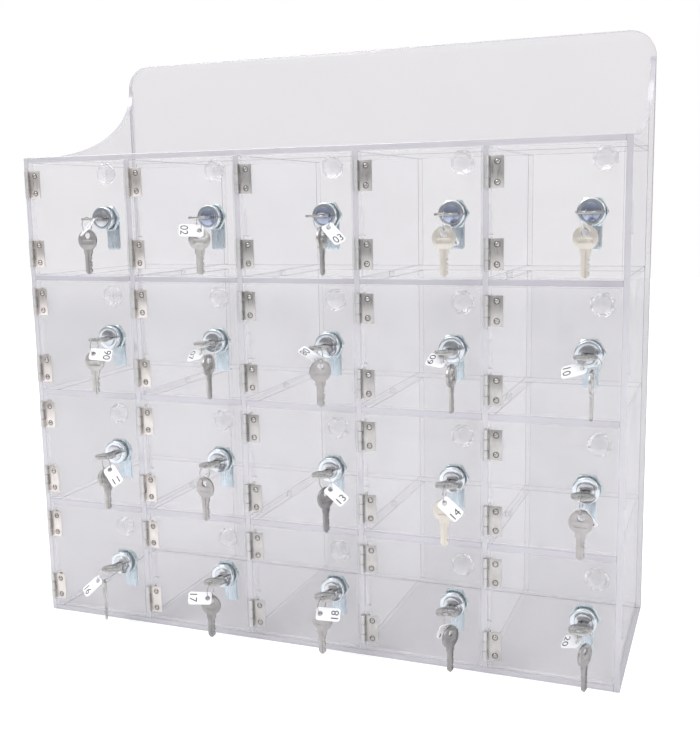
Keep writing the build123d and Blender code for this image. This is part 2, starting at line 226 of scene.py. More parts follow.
class KeySettings(bpy.types.PropertyGroup):
    length: size("Length", "Length of a key", 40.0)
    sheet: size("Thickness", "Thickness of a key", 2.0)
    bow: size("Bow radius", "Radius of the bow", 9.5)
    hole: size("Hole radius", "Radius of the bow's hole", 3.0)
    hole_end: size("Hole place", "Hole's centre from the bow's end", 5.5)
    neck: size("Neck width", "Width of the neck", 8.5)
    neck_length: size("Neck length", "Length of the neck below the bow's centre", 12.0)
    blade: size("Blade width", "Width of the blade", 6.5)
    tip: size("Blade tip", "Chamfer of the blade's tip", 2.2)
    inserted: size("Inserted", "How far a key goes into its lock", 16.0)
    cut: size("Cut depth", "Depth of the blade's deepest cut", 1.2)
    cut_pitch: size("Cut pitch", "Distance between the blade's cuts", 3.2)
    cuts: IntProperty(name="Cuts", description="Number of cuts in a blade", default=4, min=0)
    groove: size("Groove width", "Width of the groove along a blade", 1.5)
    groove_depth: size("Groove depth", "Depth of the groove along a blade", 0.45)
    ring: size("Ring radius", "Mean radius of the split ring", 7.0)
    wire: size("Ring wire", "Half of the two turns' height together", 0.5)
    rest: size("Ring rest", "Clearance where the ring hangs on the key", 0.15)
    nickel: tint("Nickel", "Colour of most keys", (0.375, 0.37, 0.36))
    cream: tint("Cream plating", "Colour of the paler keys", (0.53, 0.50, 0.455))
    grey: tint("Grey plating", "Colour of the greyer keys", (0.34, 0.325, 0.325))
    dark: tint("Dark plating", "Colour of the darkest keys", (0.25, 0.245, 0.245))


class TagSettings(bpy.types.PropertyGroup):
    length: size("Length", "Length of a tag", 21.0)
    width: size("Width", "Width of a tag", 11.5)
    sheet: size("Thickness", "Thickness of a tag", 1.0)
    corner: size("Corner", "Corner radius of a tag", 2.5)
    hole: size("Hole radius", "Radius of a tag's hole", 2.2)
    hole_end: size("Hole place", "Hole's centre from the tag's end", 3.6)
    rest: size("Rest", "Hole's centre beyond the wire", 0.8)
    digit: size("Digits", "Height of the digits", 6.8)
    colour: tint("Tag colour", "Colour of the tag", (0.80, 0.80, 0.82))
    ink: tint("Ink colour", "Colour of the digits", (0.03, 0.03, 0.035))


class StageSettings(bpy.types.PropertyGroup):
    floor: tint("Floor colour", "Colour of the pale floor", (0.93, 0.93, 0.935))
    floor_width: size("Floor width", "Width of the pale floor", 9000.0)
    lens: size("Lens", "Focal length of the camera", 52.06)
    key_power: FloatProperty(
        name="Key light", description="Power of the large soft light", default=26.0, min=0.0,
        unit="POWER",
    )
    fill_power: FloatProperty(
        name="Fill light", description="Power of the fill light", default=9.0, min=0.0,
        unit="POWER",
    )


groups = {
    "locker_sheets": SheetSettings,
    "locker_doors": DoorSettings,
    "locker_hinges": HingeSettings,
    "locker_locks": LockSettings,
    "locker_keys": KeySettings,
    "locker_tags": TagSettings,
    "locker_stage": StageSettings,
}


def sizes_of(group):
    return getattr(bpy.context.scene, group)


# Shared shader effects

def shader_group(name, inputs, outputs):
    """Empty shader group with number inputs and the given outputs, and its two end nodes."""
    tree = bpy.data.node_groups.new(name, "ShaderNodeTree")
    for label, value in inputs.items():
        socket = tree.interface.new_socket(label, in_out="INPUT", socket_type="NodeSocketFloat")
        socket.default_value = value
    for label in outputs:
        tree.interface.new_socket(label, in_out="OUTPUT", socket_type="NodeSocketFloat")
    return tree, tree.nodes.new("NodeGroupInput"), tree.nodes.new("NodeGroupOutput")


def feed(node, inputs):
    """Gives a node's inputs plain values or other nodes' outputs."""
    for place, value in dict(inputs).items():
        if isinstance(value, bpy.types.NodeSocket):
            node.id_data.links.new(value, node.inputs[place])
        else:
            node.inputs[place].default_value = value
    return node


def added(nodes, kind, inputs=(), **settings):
    """New node with its settings, and then its inputs."""
    node = nodes.new(kind)
    for label, value in settings.items():
        setattr(node, label, value)
    return feed(node, inputs)


def number(nodes, operation, *values):
    return added(nodes, "ShaderNodeMath", enumerate(values), operation=operation).outputs[0]


def spread(nodes, value, low, high, new_low, new_high):
    """Map Range node: value from low..high to new_low..new_high, kept inside."""
    ends = {"Value": value, "From Min": low, "From Max": high, "To Min": new_low, "To Max": new_high}
    return added(nodes, "ShaderNodeMapRange", ends).outputs["Result"]


def noise(nodes, coordinates, scale, detail, stretch=(1, 1, 1), roughness=0.5):
    """Noise over the object's own coordinates, stretched along the given axes."""
    mapping = added(nodes, "ShaderNodeMapping", {"Scale": stretch, "Vector": coordinates})
    return added(nodes, "ShaderNodeTexNoise", {
        "Vector": mapping.outputs["Vector"], "Scale": scale, "Detail": detail, "Roughness": roughness,
    }).outputs["Fac"]


def handling_marks():
    """Faint smudges and hairline scratches of a polished clear sheet."""
    found = bpy.data.node_groups.get("Handling marks")
    if found:
        return found
    tree, start, end = shader_group(
        "Handling marks", {"Smudge Scale": 18.0, "Scratch Scale": 60.0}, ("Smudge", "Scratch", "Height")
    )
    nodes = tree.nodes
    place = nodes.new("ShaderNodeTexCoord").outputs["Object"]
    smudge = noise(nodes, place, start.outputs["Smudge Scale"], 4.0)
    smudge = spread(nodes, smudge, 0.42, 0.68, 0.0, 1.0)
    hair = noise(nodes, place, start.outputs["Scratch Scale"], 2.0, (1.0, 1.0, 18.0), 0.7)
    cross = noise(nodes, place, start.outputs["Scratch Scale"], 2.0, (16.0, 1.0, 1.0), 0.7)
    hair = spread(nodes, number(nodes, "MAXIMUM", hair, cross), 0.66, 0.74, 0.0, 1.0)
    height = number(nodes, "ADD", number(nodes, "MULTIPLY", smudge, 0.35), hair)
    feed(end, {"Smudge": smudge, "Scratch": hair, "Height": height})
    return tree


def plated_grain():
    """Fine drawn grain with small pits and wide tarnish, for plated metal."""
    found = bpy.data.node_groups.get("Plated grain")
    if found:
        return found
    tree, start, end = shader_group(
        "Plated grain", {"Grain Scale": 700.0, "Tarnish Scale": 120.0}, ("Grain", "Tarnish", "Height")
    )
    nodes = tree.nodes
    place = nodes.new("ShaderNodeTexCoord").outputs["Object"]
    grain = noise(nodes, place, start.outputs["Grain Scale"], 3.0, (1.0, 1.0, 0.08), 0.6)
    pits = noise(nodes, place, number(nodes, "MULTIPLY", start.outputs["Grain Scale"], 1.7), 2.0)
    pits = spread(nodes, pits, 0.64, 0.74, 0.0, 1.0)
    tarnish = noise(nodes, place, start.outputs["Tarnish Scale"], 5.0)
    tarnish = spread(nodes, tarnish, 0.36, 0.66, 0.0, 1.0)
    feed(end, {"Grain": grain, "Tarnish": tarnish, "Height": number(nodes, "SUBTRACT", grain, pits)})
    return tree


def blank_material(name):
    material = bpy.data.materials.new(name)
    material.use_nodes = True
    nodes = material.node_tree.nodes
    return material, nodes, nodes["Principled BSDF"]


def colour_mix(nodes, factor, *ends):
    """Mix node between two colours, each a plain colour or another node's output."""
    node = added(nodes, "ShaderNodeMix", {"Factor": factor}, data_type="RGBA")
    places = [place for place, socket in enumerate(node.inputs) if socket.type == "RGBA"]
    feed(node, {place: end if isinstance(end, bpy.types.NodeSocket) else (*end, 1.0)
                for place, end in zip(places, ends)})
    return [socket for socket in node.outputs if socket.type == "RGBA"][0]


def ramp(nodes, value, stops):
    """Colour ramp through (position, colour) stops."""
    node = nodes.new("ShaderNodeValToRGB")
    elements = node.color_ramp.elements
    for position, colour in stops[1:-1]:
        elements.new(position)
    for element, (position, colour) in zip(elements, stops):
        element.position = position
        element.color = (*colour, 1.0)
    return feed(node, {"Fac": value})


def vector(nodes, x=0.0, y=0.0, z=0.0):
    return added(nodes, "ShaderNodeCombineXYZ", {"X": x, "Y": y, "Z": z}).outputs[0]


def bump(nodes, height, strength, distance):
    values = {"Strength": strength, "Distance": distance, "Height": height}
    return added(nodes, "ShaderNodeBump", values).outputs["Normal"]


def shifted(colour, amount):
    return tuple(min(1.0, max(0.0, channel * amount)) for channel in colour)


def clear_sheet(name, colour, veil, smooth=0.03):
    """Clear polished acrylic: a thin veil of its own colour and a strong surface gloss."""
    found = bpy.data.materials.get(name)
    if found:
        return found
    material, nodes, shader = blank_material(name)
    marks = added(nodes, "ShaderNodeGroup", node_tree=handling_marks()).outputs
    feed(shader, {
        "Base Color": colour_mix(nodes, marks["Smudge"], colour, shifted(colour, 1.08)),
        "Roughness": spread(nodes, marks["Smudge"], 0.0, 1.0, smooth, smooth + 0.07),
        "Normal": bump(nodes, marks["Height"], 0.05, 0.0002),
        "IOR": 1.9, "Specular IOR Level": 1.0, "Alpha": veil,
    })
    return material


def plated(name, colour, other, metallic, roughness, grain_scale=700.0, relief=0.12):
    """Plated metal with drawn grain, pits and a little tarnish."""
    found = bpy.data.materials.get(name)
    if found:
        return found
    material, nodes, shader = blank_material(name)
    scale = {"Grain Scale": grain_scale}
    grain = added(nodes, "ShaderNodeGroup", scale, node_tree=plated_grain()).outputs
    feed(shader, {
        "Base Color": colour_mix(nodes, grain["Tarnish"], colour, other),
        "Roughness": spread(nodes, grain["Grain"], 0.3, 0.7, roughness * 0.75, roughness * 1.35),
        "Normal": bump(nodes, grain["Height"], relief, 0.0001),
        "Metallic": metallic,
    })
    return material


def crystal():
    """Clear moulded pull: refracts what is behind it."""
    found = bpy.data.materials.get("clear_pull")
    if found:
        return found
    material, nodes, shader = blank_material("clear_pull")
    marks = added(nodes, "ShaderNodeGroup", {"Smudge Scale": 90.0}, node_tree=handling_marks()).outputs
    feed(shader, {
        "Base Color": colour_mix(nodes, marks["Smudge"], (0.90, 0.90, 0.92), (0.95, 0.95, 0.96)),
        "Roughness": spread(nodes, marks["Smudge"], 0.0, 1.0, 0.02, 0.07),
        "Normal": bump(nodes, marks["Height"], 0.04, 0.0002),
        "IOR": 1.49, "Transmission Weight": 1.0, "Alpha": 0.42,
    })
    return material


def moulded(name, colour, roughness, scale):
    """Plain moulded plastic with a fine uneven skin."""
    found = bpy.data.materials.get(name)
    if found:
        return found
    material, nodes, shader = blank_material(name)
    skin = noise(nodes, nodes.new("ShaderNodeTexCoord").outputs["Object"], scale, 4.0)
    feed(shader, {
        "Base Color": colour_mix(nodes, skin, shifted(colour, 0.94), shifted(colour, 1.04)),
        "Roughness": spread(nodes, skin, 0.3, 0.7, roughness * 0.8, roughness * 1.25),
        "Normal": bump(nodes, skin, 0.15, 0.0001),
    })
    return material


# Geometry trees for what repeats or follows a path

def geometry_tree(name, inputs):
    """Geometry tree with named inputs, and its two end nodes."""
    tree = bpy.data.node_groups.new(name, "GeometryNodeTree")
    tree.interface.new_socket("Geometry", in_out="INPUT", socket_type="NodeSocketGeometry")
    for label, value in inputs.items():
        kind = "NodeSocketFloat"
        if isinstance(value, int):
            kind = "NodeSocketInt"
        if isinstance(value, tuple):
            kind = "NodeSocketVector"
        socket = tree.interface.new_socket(label, in_out="INPUT", socket_type=kind)
        socket.default_value = value
    tree.interface.new_socket("Geometry", in_out="OUTPUT", socket_type="NodeSocketGeometry")
    return tree, tree.nodes.new("NodeGroupInput"), tree.nodes.new("NodeGroupOutput")


def finish_tree(tree, end, geometry, material):
    """Ends a tree in Realize Instances and Set Material."""
    real = added(tree.nodes, "GeometryNodeRealizeInstances", {0: geometry})
    paint = {"Material": material, "Geometry": real.outputs[0]}
    feed(end, {"Geometry": added(tree.nodes, "GeometryNodeSetMaterial", paint).outputs[0]})
    return tree


def screw_tree(material):
    """Slotted round-head screws on the points of a mesh, each turned a little differently."""
    found = bpy.data.node_groups.get("Slotted screws")
    if found:
        return found
    tree, start, end = geometry_tree("Slotted screws", {
        "Head Radius": 0.0021, "Head Rise": 0.0011, "Slot Width": 0.0005, "Shank Radius": 0.001,
        "Shank Length": 0.0036, "Facing": (0.0, 0.0, 0.0), "Seed": 3,
    })
    nodes, links = tree.nodes, tree.links
    sizes = start.outputs
    ball = added(nodes, "GeometryNodeMeshUVSphere", {"Segments": 20, "Rings": 10, "Radius": 1.0})
    scale = vector(nodes, sizes["Head Radius"], sizes["Head Radius"], sizes["Head Rise"])
    dome = added(nodes, "GeometryNodeTransform", {"Geometry": ball.outputs["Mesh"], "Scale": scale})
    # Block that takes off the ball's lower half, wider and deeper than any head.
    wide, deep = 0.01, 0.004
    under = added(nodes, "GeometryNodeMeshCube", {"Size": (wide, wide, deep)})
    sink = added(nodes, "GeometryNodeTransform", {
        "Translation": (0.0, 0.0, -deep / 2), "Geometry": under.outputs["Mesh"],
    })
    slot = added(nodes, "GeometryNodeMeshCube", {
        "Size": vector(nodes, wide, sizes["Slot Width"], sizes["Head Rise"]),
    })
    lift = added(nodes, "GeometryNodeTransform", {
        "Geometry": slot.outputs["Mesh"], "Translation": vector(nodes, z=sizes["Head Rise"]),
    })
    cut = added(nodes, "GeometryNodeMeshBoolean", {0: dome.outputs[0], 1: sink.outputs[0]},
                operation="DIFFERENCE")
    links.new(lift.outputs[0], cut.inputs[1])
    shank = added(nodes, "GeometryNodeMeshCylinder", {
        "Vertices": 12, "Radius": sizes["Shank Radius"], "Depth": sizes["Shank Length"],
    })
    half_down = vector(nodes, z=number(nodes, "MULTIPLY", sizes["Shank Length"], -0.5))
    drop = added(nodes, "GeometryNodeTransform", {
        "Geometry": shank.outputs["Mesh"], "Translation": half_down,
    })
    screw = added(nodes, "GeometryNodeJoinGeometry", {0: cut.outputs["Mesh"]})
    links.new(drop.outputs[0], screw.inputs[0])
    turn = added(nodes, "FunctionNodeRandomValue", data_type="FLOAT")
    for label, angle in (("Min", 0.2), ("Max", 1.3)):
        ends = [end for end in turn.inputs if end.name == label and end.type == "VALUE"]
        ends[0].default_value = angle
    links.new(sizes["Seed"], turn.inputs["Seed"])
    random_turn = [socket for socket in turn.outputs if socket.type == "VALUE"][0]
    spin = added(nodes, "FunctionNodeAxisAngleToRotation", {
        "Axis": (0.0, 0.0, 1.0), "Angle": random_turn,
    })
    facing = added(nodes, "FunctionNodeEulerToRotation", {0: sizes["Facing"]})
    both = added(nodes, "FunctionNodeRotateRotation", {0: facing.outputs[0], 1: spin.outputs[0]},
                 rotation_space="LOCAL")
    points = added(nodes, "GeometryNodeInstanceOnPoints", {
        "Points": sizes["Geometry"], "Instance": screw.outputs[0], "Rotation": both.outputs[0],
    })
    return finish_tree(tree, end, points.outputs[0], material)


def coil_tree(name, material, wire_sides, upright):
    """A wire wound into a spiral: a thread's ridge, or the two turns of a split ring."""
    found = bpy.data.node_groups.get(name)
    if found:
        return found
    tree, start, end = geometry_tree(name, {
        "Radius": 0.008, "Length": 0.01, "Turns": 4.0, "Wire": 0.0004, "Steps": 32,
    })
    nodes, sizes = tree.nodes, start.outputs
    spiral = added(nodes, "GeometryNodeCurveSpiral", {
        "Resolution": sizes["Steps"], "Rotations": sizes["Turns"], "Start Radius": sizes["Radius"],
        "End Radius": sizes["Radius"], "Height": sizes["Length"],
    })
    wire = added(nodes, "GeometryNodeCurvePrimitiveCircle", {
        "Resolution": wire_sides, "Radius": sizes["Wire"],
    })
    sweep = added(nodes, "GeometryNodeCurveToMesh", {
        "Curve": spiral.outputs[0], "Profile Curve": wire.outputs["Curve"], "Fill Caps": True,
    })
    half_down = vector(nodes, z=number(nodes, "MULTIPLY", sizes["Length"], -0.5))
    middle = added(nodes, "GeometryNodeTransform", {
        "Geometry": sweep.outputs[0], "Translation": half_down,
    })
    lie = 0.0 if upright else -math.pi / 2
    turn = added(nodes, "GeometryNodeTransform", {
        "Rotation": (lie, 0.0, 0.0), "Geometry": middle.outputs[0],
    })
    return finish_tree(tree, end, turn.outputs[0], material)


def grown(name, tree, values, points=((0.0, 0.0, 0.0),)):
    """Plain mesh made by a geometry tree from loose points."""
    base = bpy.data.meshes.new(name)
    base.from_pydata([tuple(point) for point in points], [], [])
    holder = linked(name, base)
    modifier = holder.modifiers.new(name, "NODES")
    modifier.node_group = tree
    for item in tree.interface.items_tree:
        if item.item_type == "SOCKET" and item.in_out == "INPUT" and item.name in values:
            modifier[item.identifier] = values[item.name]
    return plain_mesh(holder)


# Mesh helpers

def linked(name, data):
    """Object with the given data, in the scene."""
    thing = bpy.data.objects.new(name, data)
    bpy.context.scene.collection.objects.link(thing)
    return thing


def plain_mesh(holder, *others):
    """Plain mesh of an object with its modifiers; the object and its helpers then go."""
    depsgraph = bpy.context.evaluated_depsgraph_get()
    mesh = bpy.data.meshes.new_from_object(holder.evaluated_get(depsgraph))
    for thing in (*others, holder):
        bpy.data.objects.remove(thing)
    return mesh


def mesh_of(name, bm):
    mesh = bpy.data.meshes.new(name)
    bm.to_mesh(mesh)
    bm.free()
    return mesh


def circle(radius, count, x=0.0, y=0.0):
    step = 2 * math.pi / count
    return [(x + radius * math.cos(step * i), y + radius * math.sin(step * i)) for i in range(count)]


def polygon(across_flats, sides, turn=0.0):
    radius = across_flats / 2 / math.cos(math.pi / sides)
    angles = [2 * math.pi / sides * i + turn for i in range(sides)]
    return [(radius * math.cos(angle), radius * math.sin(angle)) for angle in angles]


def rectangle(x0, x1, y0, y1):
    return [(x0, y0), (x1, y0), (x1, y1), (x0, y1)]


def rounded(x0, x1, y0, y1, radius, count=6):
    """Rectangle with rounded corners."""
    ring = []
    corners = ((x1 - radius, y0 + radius, -90), (x1 - radius, y1 - radius, 0),
               (x0 + radius, y1 - radius, 90), (x0 + radius, y0 + radius, 180))
    for x, y, start in corners:
        for i in range(count + 1):
            angle = math.radians(start + 90 * i / count)
            ring.append((x + radius * math.cos(angle), y + radius * math.sin(angle)))
    return ring


def plate(name, outline, holes, thickness, bevel, material, steps=1):
    """Flat plate of any outline with holes and rounded rims, centred on the XY plane."""
    curve = bpy.data.curves.new(name, "CURVE")
    curve.dimensions = "2D"
    curve.fill_mode = "BOTH"
    curve.extrude = thickness / 2 - bevel
    curve.bevel_depth = bevel
    curve.bevel_resolution = steps
    curve.offset = -bevel
    for ring in [outline] + holes:
        spline = curve.splines.new("POLY")
        spline.points.add(len(ring) - 1)
        for point, (x, y) in zip(spline.points, ring):
            point.co = (x, y, 0.0, 1.0)
        spline.use_cyclic_u = True
    curve.materials.append(material)
    return closed(plain_mesh(linked(name, curve)), material)


def closed(mesh, material):
    """Merges doubles, turns faces outwards and gives the mesh one material."""
    bm = bmesh.new()
    bm.from_mesh(mesh)
    bmesh.ops.remove_doubles(bm, verts=bm.verts, dist=1e-6)
    bmesh.ops.recalc_face_normals(bm, faces=bm.faces)
    for face in bm.faces:
        face.material_index = 0
    bm.to_mesh(mesh)
    bm.free()
    mesh.materials.clear()
    mesh.materials.append(material)
    return mesh


def lathe(name, profile, material, segments=48):
    """Solid turned about the Y axis from (radius, y) points; a ring if none is on the axis."""
    bm = bmesh.new()
    rings = []
    for radius, y in profile:
        rim = circle(radius, segments if radius > 1e-9 else 1)
        rings.append([bm.verts.new((x, y, z)) for x, z in rim])
    pairs = list(zip(rings, rings[1:]))
    if len(rings[0]) > 1 and len(rings[-1]) > 1:
        pairs.append((rings[-1], rings[0]))
    for low, high in pairs:
        for i in range(segments):
            j = (i + 1) % segments
            corners = [low[i % len(low)], low[j % len(low)], high[j % len(high)], high[i % len(high)]]
            face = list(dict.fromkeys(corners))
            if len(face) > 2:
                bm.faces.new(face)
    return closed(mesh_of(name, bm), material)


def carved(name, mesh, cutters, material, operation="DIFFERENCE", place=Matrix.Identity(4)):
    """The mesh with the placed cutters' shapes taken out of it, or only what lies inside them."""
    holder = linked(name, mesh)
    tools = [linked(name + "_cutter", cutter) for cutter in cutters]
    for tool in tools:
        tool.matrix_world = place
        modifier = holder.modifiers.new("cut", "BOOLEAN")
        modifier.operation = operation
        modifier.solver = "EXACT"
        modifier.object = tool
    return closed(plain_mesh(holder, *tools), material)


def at(x=0.0, y=0.0, z=0.0):
    return Matrix.Translation((x, y, z))


def turned(degrees, axis):
    return Matrix.Rotation(math.radians(degrees), 4, axis)


def moved(parts, place):
    """Placed meshes, moved as one."""
    return [(mesh, place @ own) for mesh, own in parts]


# A plate's own Z becomes -Y, so that it stands in the plane of the doors.
facing_front = turned(90, "X")


def assemble(name, parts, body, nodes):
    """Joins placed meshes into one piece that rides on a body and stands for its nodes."""
    bm = bmesh.new()
    materials = []
    for mesh, place in parts:
        first_vertex, first_face = len(bm.verts), len(bm.faces)
        bm.from_mesh(mesh)
        bm.verts.ensure_lookup_table()
        bm.faces.ensure_lookup_table()
        bmesh.ops.transform(bm, matrix=place, verts=bm.verts[first_vertex:])
        for face in bm.faces[first_face:]:
            material = mesh.materials[face.material_index]
            if material not in materials:
                materials.append(material)
            face.material_index = materials.index(material)
    mesh = mesh_of(name, bm)
    for material in materials:
        mesh.materials.append(material)
    mesh.shade_smooth()
    mesh.set_sharp_from_angle(angle=math.radians(25))
    piece = linked(name, mesh)
    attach(piece, body)
    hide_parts(*nodes)
    return piece


def lock_centre(number):
    """Lock's axis in the plane of the door's face."""
    return joint_place[f"lock_{number}_turn"]


def door_corner(number):
    """Lower hinge-side corner of the compartment, in the plane of the door's face."""
    doors = sizes_of("locker_doors")
    return lock_centre(number) - Vector((doors.lock_across, 0.0, doors.cell / 2))


def hinge_floors():
    """Lower ends of a door's two hinges above the compartment's floor."""
    doors, hinges = sizes_of("locker_doors"), sizes_of("locker_hinges")
    low = doors.end_gap + hinges.leaf_inset
    return low, doors.cell - low - hinges.leaf_height


# Case

def on_rim(node, middle, low, high, axis):
    """Whether a face lies along its sheet's outline, and not in a slot, notch or screw hole."""
    reach = 2 * sizes_of("locker_sheets").bevel
    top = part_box("top_panel")[1][2]
    if node in ("back_panel", "side_left", "side_right") and middle.z > top - reach:
        return True
    for i in range(3):
        if i != axis and min(middle[i] - low[i], high[i] - middle[i]) < reach:
            return True
    return False


def in_seam(node, middle, normal, low, high, axis):
    """Whether a bevel lies along a bonded joint between sheets, away from the cam slots."""
    if max(abs(normal.x), abs(normal.y), abs(normal.z)) > 0.96:
        return False
    if axis == 0 and any(abs(middle.z - lock_centre(f"{row:02d}").z) < 0.012 for row in (1, 6, 11, 16)):
        return middle.y > high[1] - 0.01
    if node != "back_panel" and normal.y > 0.3 or axis == 2 and abs(normal.x) > 0.3:
        return True
    if node.startswith("divider") and abs(normal.z) > 0.3:
        return True
    return not on_rim(node, middle, low, high, axis)


def sheet_copy(node, axis):
    """Merged copy of a sheet with bevelled edges, its faces sorted into face, edge, bond and seam."""
    sheets = sizes_of("locker_sheets")
    bm = bmesh.new()
    bm.from_mesh(frame["nodes"][node].data)
    bmesh.ops.remove_doubles(bm, verts=bm.verts, dist=2e-6)
    bmesh.ops.dissolve_limit(bm, angle_limit=math.radians(0.5), verts=bm.verts, edges=bm.edges)
    sharp = []
    for edge in bm.edges:
        if edge.is_manifold and edge.calc_length() > shortest_bevelled_edge:
            if edge.calc_face_angle(0.0) > sharp_edge:
                sharp.append(edge)
    bmesh.ops.bevel(bm, geom=sharp, offset=sheets.bevel, segments=2, profile=0.5, affect="EDGES",
                    clamp_overlap=False)
    low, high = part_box(node)
    for face in bm.faces:
        middle = face.calc_center_median()
        normal = face.normal
        face.material_index = 1 if on_rim(node, middle, low, high, axis) else 2
        if abs(normal[axis]) > along_axis:
            face.material_index = 0
        elif node != "back_panel" and normal.y > 0.9:
            face.material_index = 2
        elif axis == 2 and abs(normal.x) > 0.9:
            face.material_index = 2
        elif node.startswith("divider") and abs(normal.z) > 0.9:
            face.material_index = 2
        if in_seam(node, middle, normal, low, high, axis):
            face.material_index = 3
    return mesh_of(node + "_sheet", bm)


class SheetsOperator(bpy.types.Operator):
    """Case sheets with polished, bevelled edges"""

    bl_idname = "locker.sheets"
    bl_label = "Case sheets"

    def execute(self, context):
        sheets = sizes_of("locker_sheets")
        face = clear_sheet("clear_face", sheets.face_colour, sheets.face_veil)
        edge = clear_sheet("clear_edge", sheets.edge_colour, sheets.edge_veil, 0.16)
        rim = clear_sheet("clear_rim", sheets.rim_colour, sheets.rim_veil, 0.16)
        bond = clear_sheet("bonded_edge", shifted(sheets.edge_colour, 1.2), sheets.bond_veil, 0.1)
        seam = clear_sheet("bonded_seam", sheets.seam_colour, sheets.seam_veil, 0.2)
        thin_axis = {node: 0 for node in upright_sheets}
        thin_axis.update({node: 2 for node in level_sheets})
        thin_axis["back_panel"] = 1
        for node, axis in thin_axis.items():
            mesh = sheet_copy(node, axis)
            for material in (face, edge if node.startswith("shelf") else rim, bond, seam):
                mesh.materials.append(material)
            assemble(node + "_polished", [(mesh, Matrix.Identity(4))], "case", [node])
        return {"FINISHED"}


# Hinges

def knuckle(name, length, material):
    hinges = sizes_of("locker_hinges")
    bore = hinges.pin * 1.05
    lip = 0.00015
    profile = [(bore, 0.0), (hinges.barrel - lip, 0.0), (hinges.barrel, lip),
               (hinges.barrel, length - lip), (hinges.barrel - lip, length), (bore, length)]
    return lathe(name, profile, material, 24)


def hinge_meshes(finish):
    """Frame leaf, door leaf and pin, each as placed meshes above the hinge's lower end."""
    hinges = sizes_of("locker_hinges")
    # The warm copy is also lighter: painted light on the two left columns.
    tone = hinges.lit_warm_colour if finish == "warm" else hinges.colour
    nickel = plated(finish + "_nickel", tone, shifted(tone, 1.18), 1.0, 0.30)
    # Painted highlight: a lighter copy of the nickel on the knuckles, standing in for the light band
    # along the barrels.
    bright = plated("barrel_highlight_nickel", hinges.barrel_highlight_colour, shifted(hinges.barrel_highlight_colour, 1.1), 0.8, 0.42)
    pin_steel = plated("pin_steel", (0.42, 0.41, 0.40), (0.55, 0.54, 0.52), 1.0, 0.3)
    to_z = turned(90, "X")
    axis = at(-hinges.barrel_across, -hinges.barrel_out, 0.0)
    end = knuckle("outer_knuckle", hinges.knuckle, bright)
    gap = hinges.knuckle + hinges.knuckle_gap
    middle = knuckle("middle_knuckle", hinges.leaf_height - 2 * gap, bright)
    upper = hinges.leaf_height - hinges.knuckle
    thick = hinges.leaf_sheet
    leaf = plate("leaf", rectangle(0.0, hinges.leaf_width, 0.0, hinges.leaf_height), [], thick,
                 leaf_bevel, nickel, 1)
    side_leaf = plate("side_leaf", rectangle(hinges.step, hinges.leaf_width, 0.0, hinges.leaf_height),
                      [], thick, leaf_bevel, nickel, 1)
    neck = plate("neck", rectangle(-hinges.barrel_out, hinges.step + leaf_overlap, 0.0,
                 hinges.knuckle), [], thick, 0.0001, nickel, 1)
    start = hinges.barrel - hinges.barrel_across + hinges.step
    tongue = plate("tongue", rectangle(-hinges.barrel_across, start + leaf_overlap, 0.0,
                   hinges.leaf_height - 2 * gap), [], thick * 0.75, 0.0001, nickel, 1)
    # A plate turned by this lies in the YZ plane, its first axis along +Y.
    on_wall = Matrix(((0, 0, 1, thick / 2), (1, 0, 0, 0), (0, 1, 0, 0), (0, 0, 0, 1)))
    frame_parts = [(side_leaf, on_wall)]
    for low in (0.0, upper):
        frame_parts.append((end, at(0, 0, low) @ axis @ to_z))
        frame_parts.append((neck, at(0, 0, low) @ on_wall))
    door_parts = [(leaf, at(start, -thick / 2, 0.0) @ facing_front)]
    door_parts.append((middle, at(0, 0, gap) @ axis @ to_z))
    door_parts.append((tongue, at(0, -thick * 0.625, gap) @ facing_front))
    cap = 0.0002
    pin = lathe("pin", [(0.0, 0.0), (hinges.pin - cap, 0.0), (hinges.pin, cap),
                (hinges.pin, hinges.leaf_height - cap), (hinges.pin - cap, hinges.leaf_height),
                (0.0, hinges.leaf_height)], pin_steel, 16)
    return frame_parts, door_parts, [(pin, axis @ to_z)]


def leaf_tint_and_light(number):
    """The two columns on the left have warmer and lighter leaves: a warmer tint, and painted light that
    makes that side brighter.
    """
    return "warm" if (int(number) - 1) % 5 < 2 else "grey"


def screw_seats(number, x, y):
    """Seats of a door's hinge screws, in the row frame."""
    hinges = sizes_of("locker_hinges")
    seats = []
    for low in hinge_floors():
        for rise in (hinges.screw_inset, hinges.leaf_height - hinges.screw_inset):
            seats.append(door_corner(number) + Vector((x, y, low + rise)))
    return seats


def screws(name, seats, facing, seed):
    hinges = sizes_of("locker_hinges")
    steel = plated("screw_steel", (0.34, 0.33, 0.32), (0.46, 0.45, 0.43), 1.0, 0.18)
    values = {
        "Head Radius": hinges.screw_head, "Head Rise": hinges.screw_rise,
        "Slot Width": hinges.screw_slot, "Shank Radius": hinges.screw_shank,
        "Shank Length": hinges.screw_length, "Facing": facing, "Seed": seed,
    }
    mesh = grown(name, screw_tree(steel), values, seats)
    return closed(mesh, steel)


def shadow_and_grime_seats(seats, turning):
    """Thin dark rings where the screws' heads sit on a leaf: painted contact shadow, and grime."""
    hinges = sizes_of("locker_hinges")
    shadow_and_grime = moulded("seat_shadow_and_grime", (0.09, 0.088, 0.085), 0.6, 900.0)
    inner, outer = hinges.screw_head - 0.0002, hinges.screw_head + hinges.screw_seat
    ring = lathe("seat", [(inner, 0.00002), (inner, -0.0001), (outer - 0.0001, -0.0001),
                 (outer, -0.00005), (outer, 0.00002)], shadow_and_grime, 24)
    return [(ring, Matrix.Translation(seat) @ turning) for seat in seats]


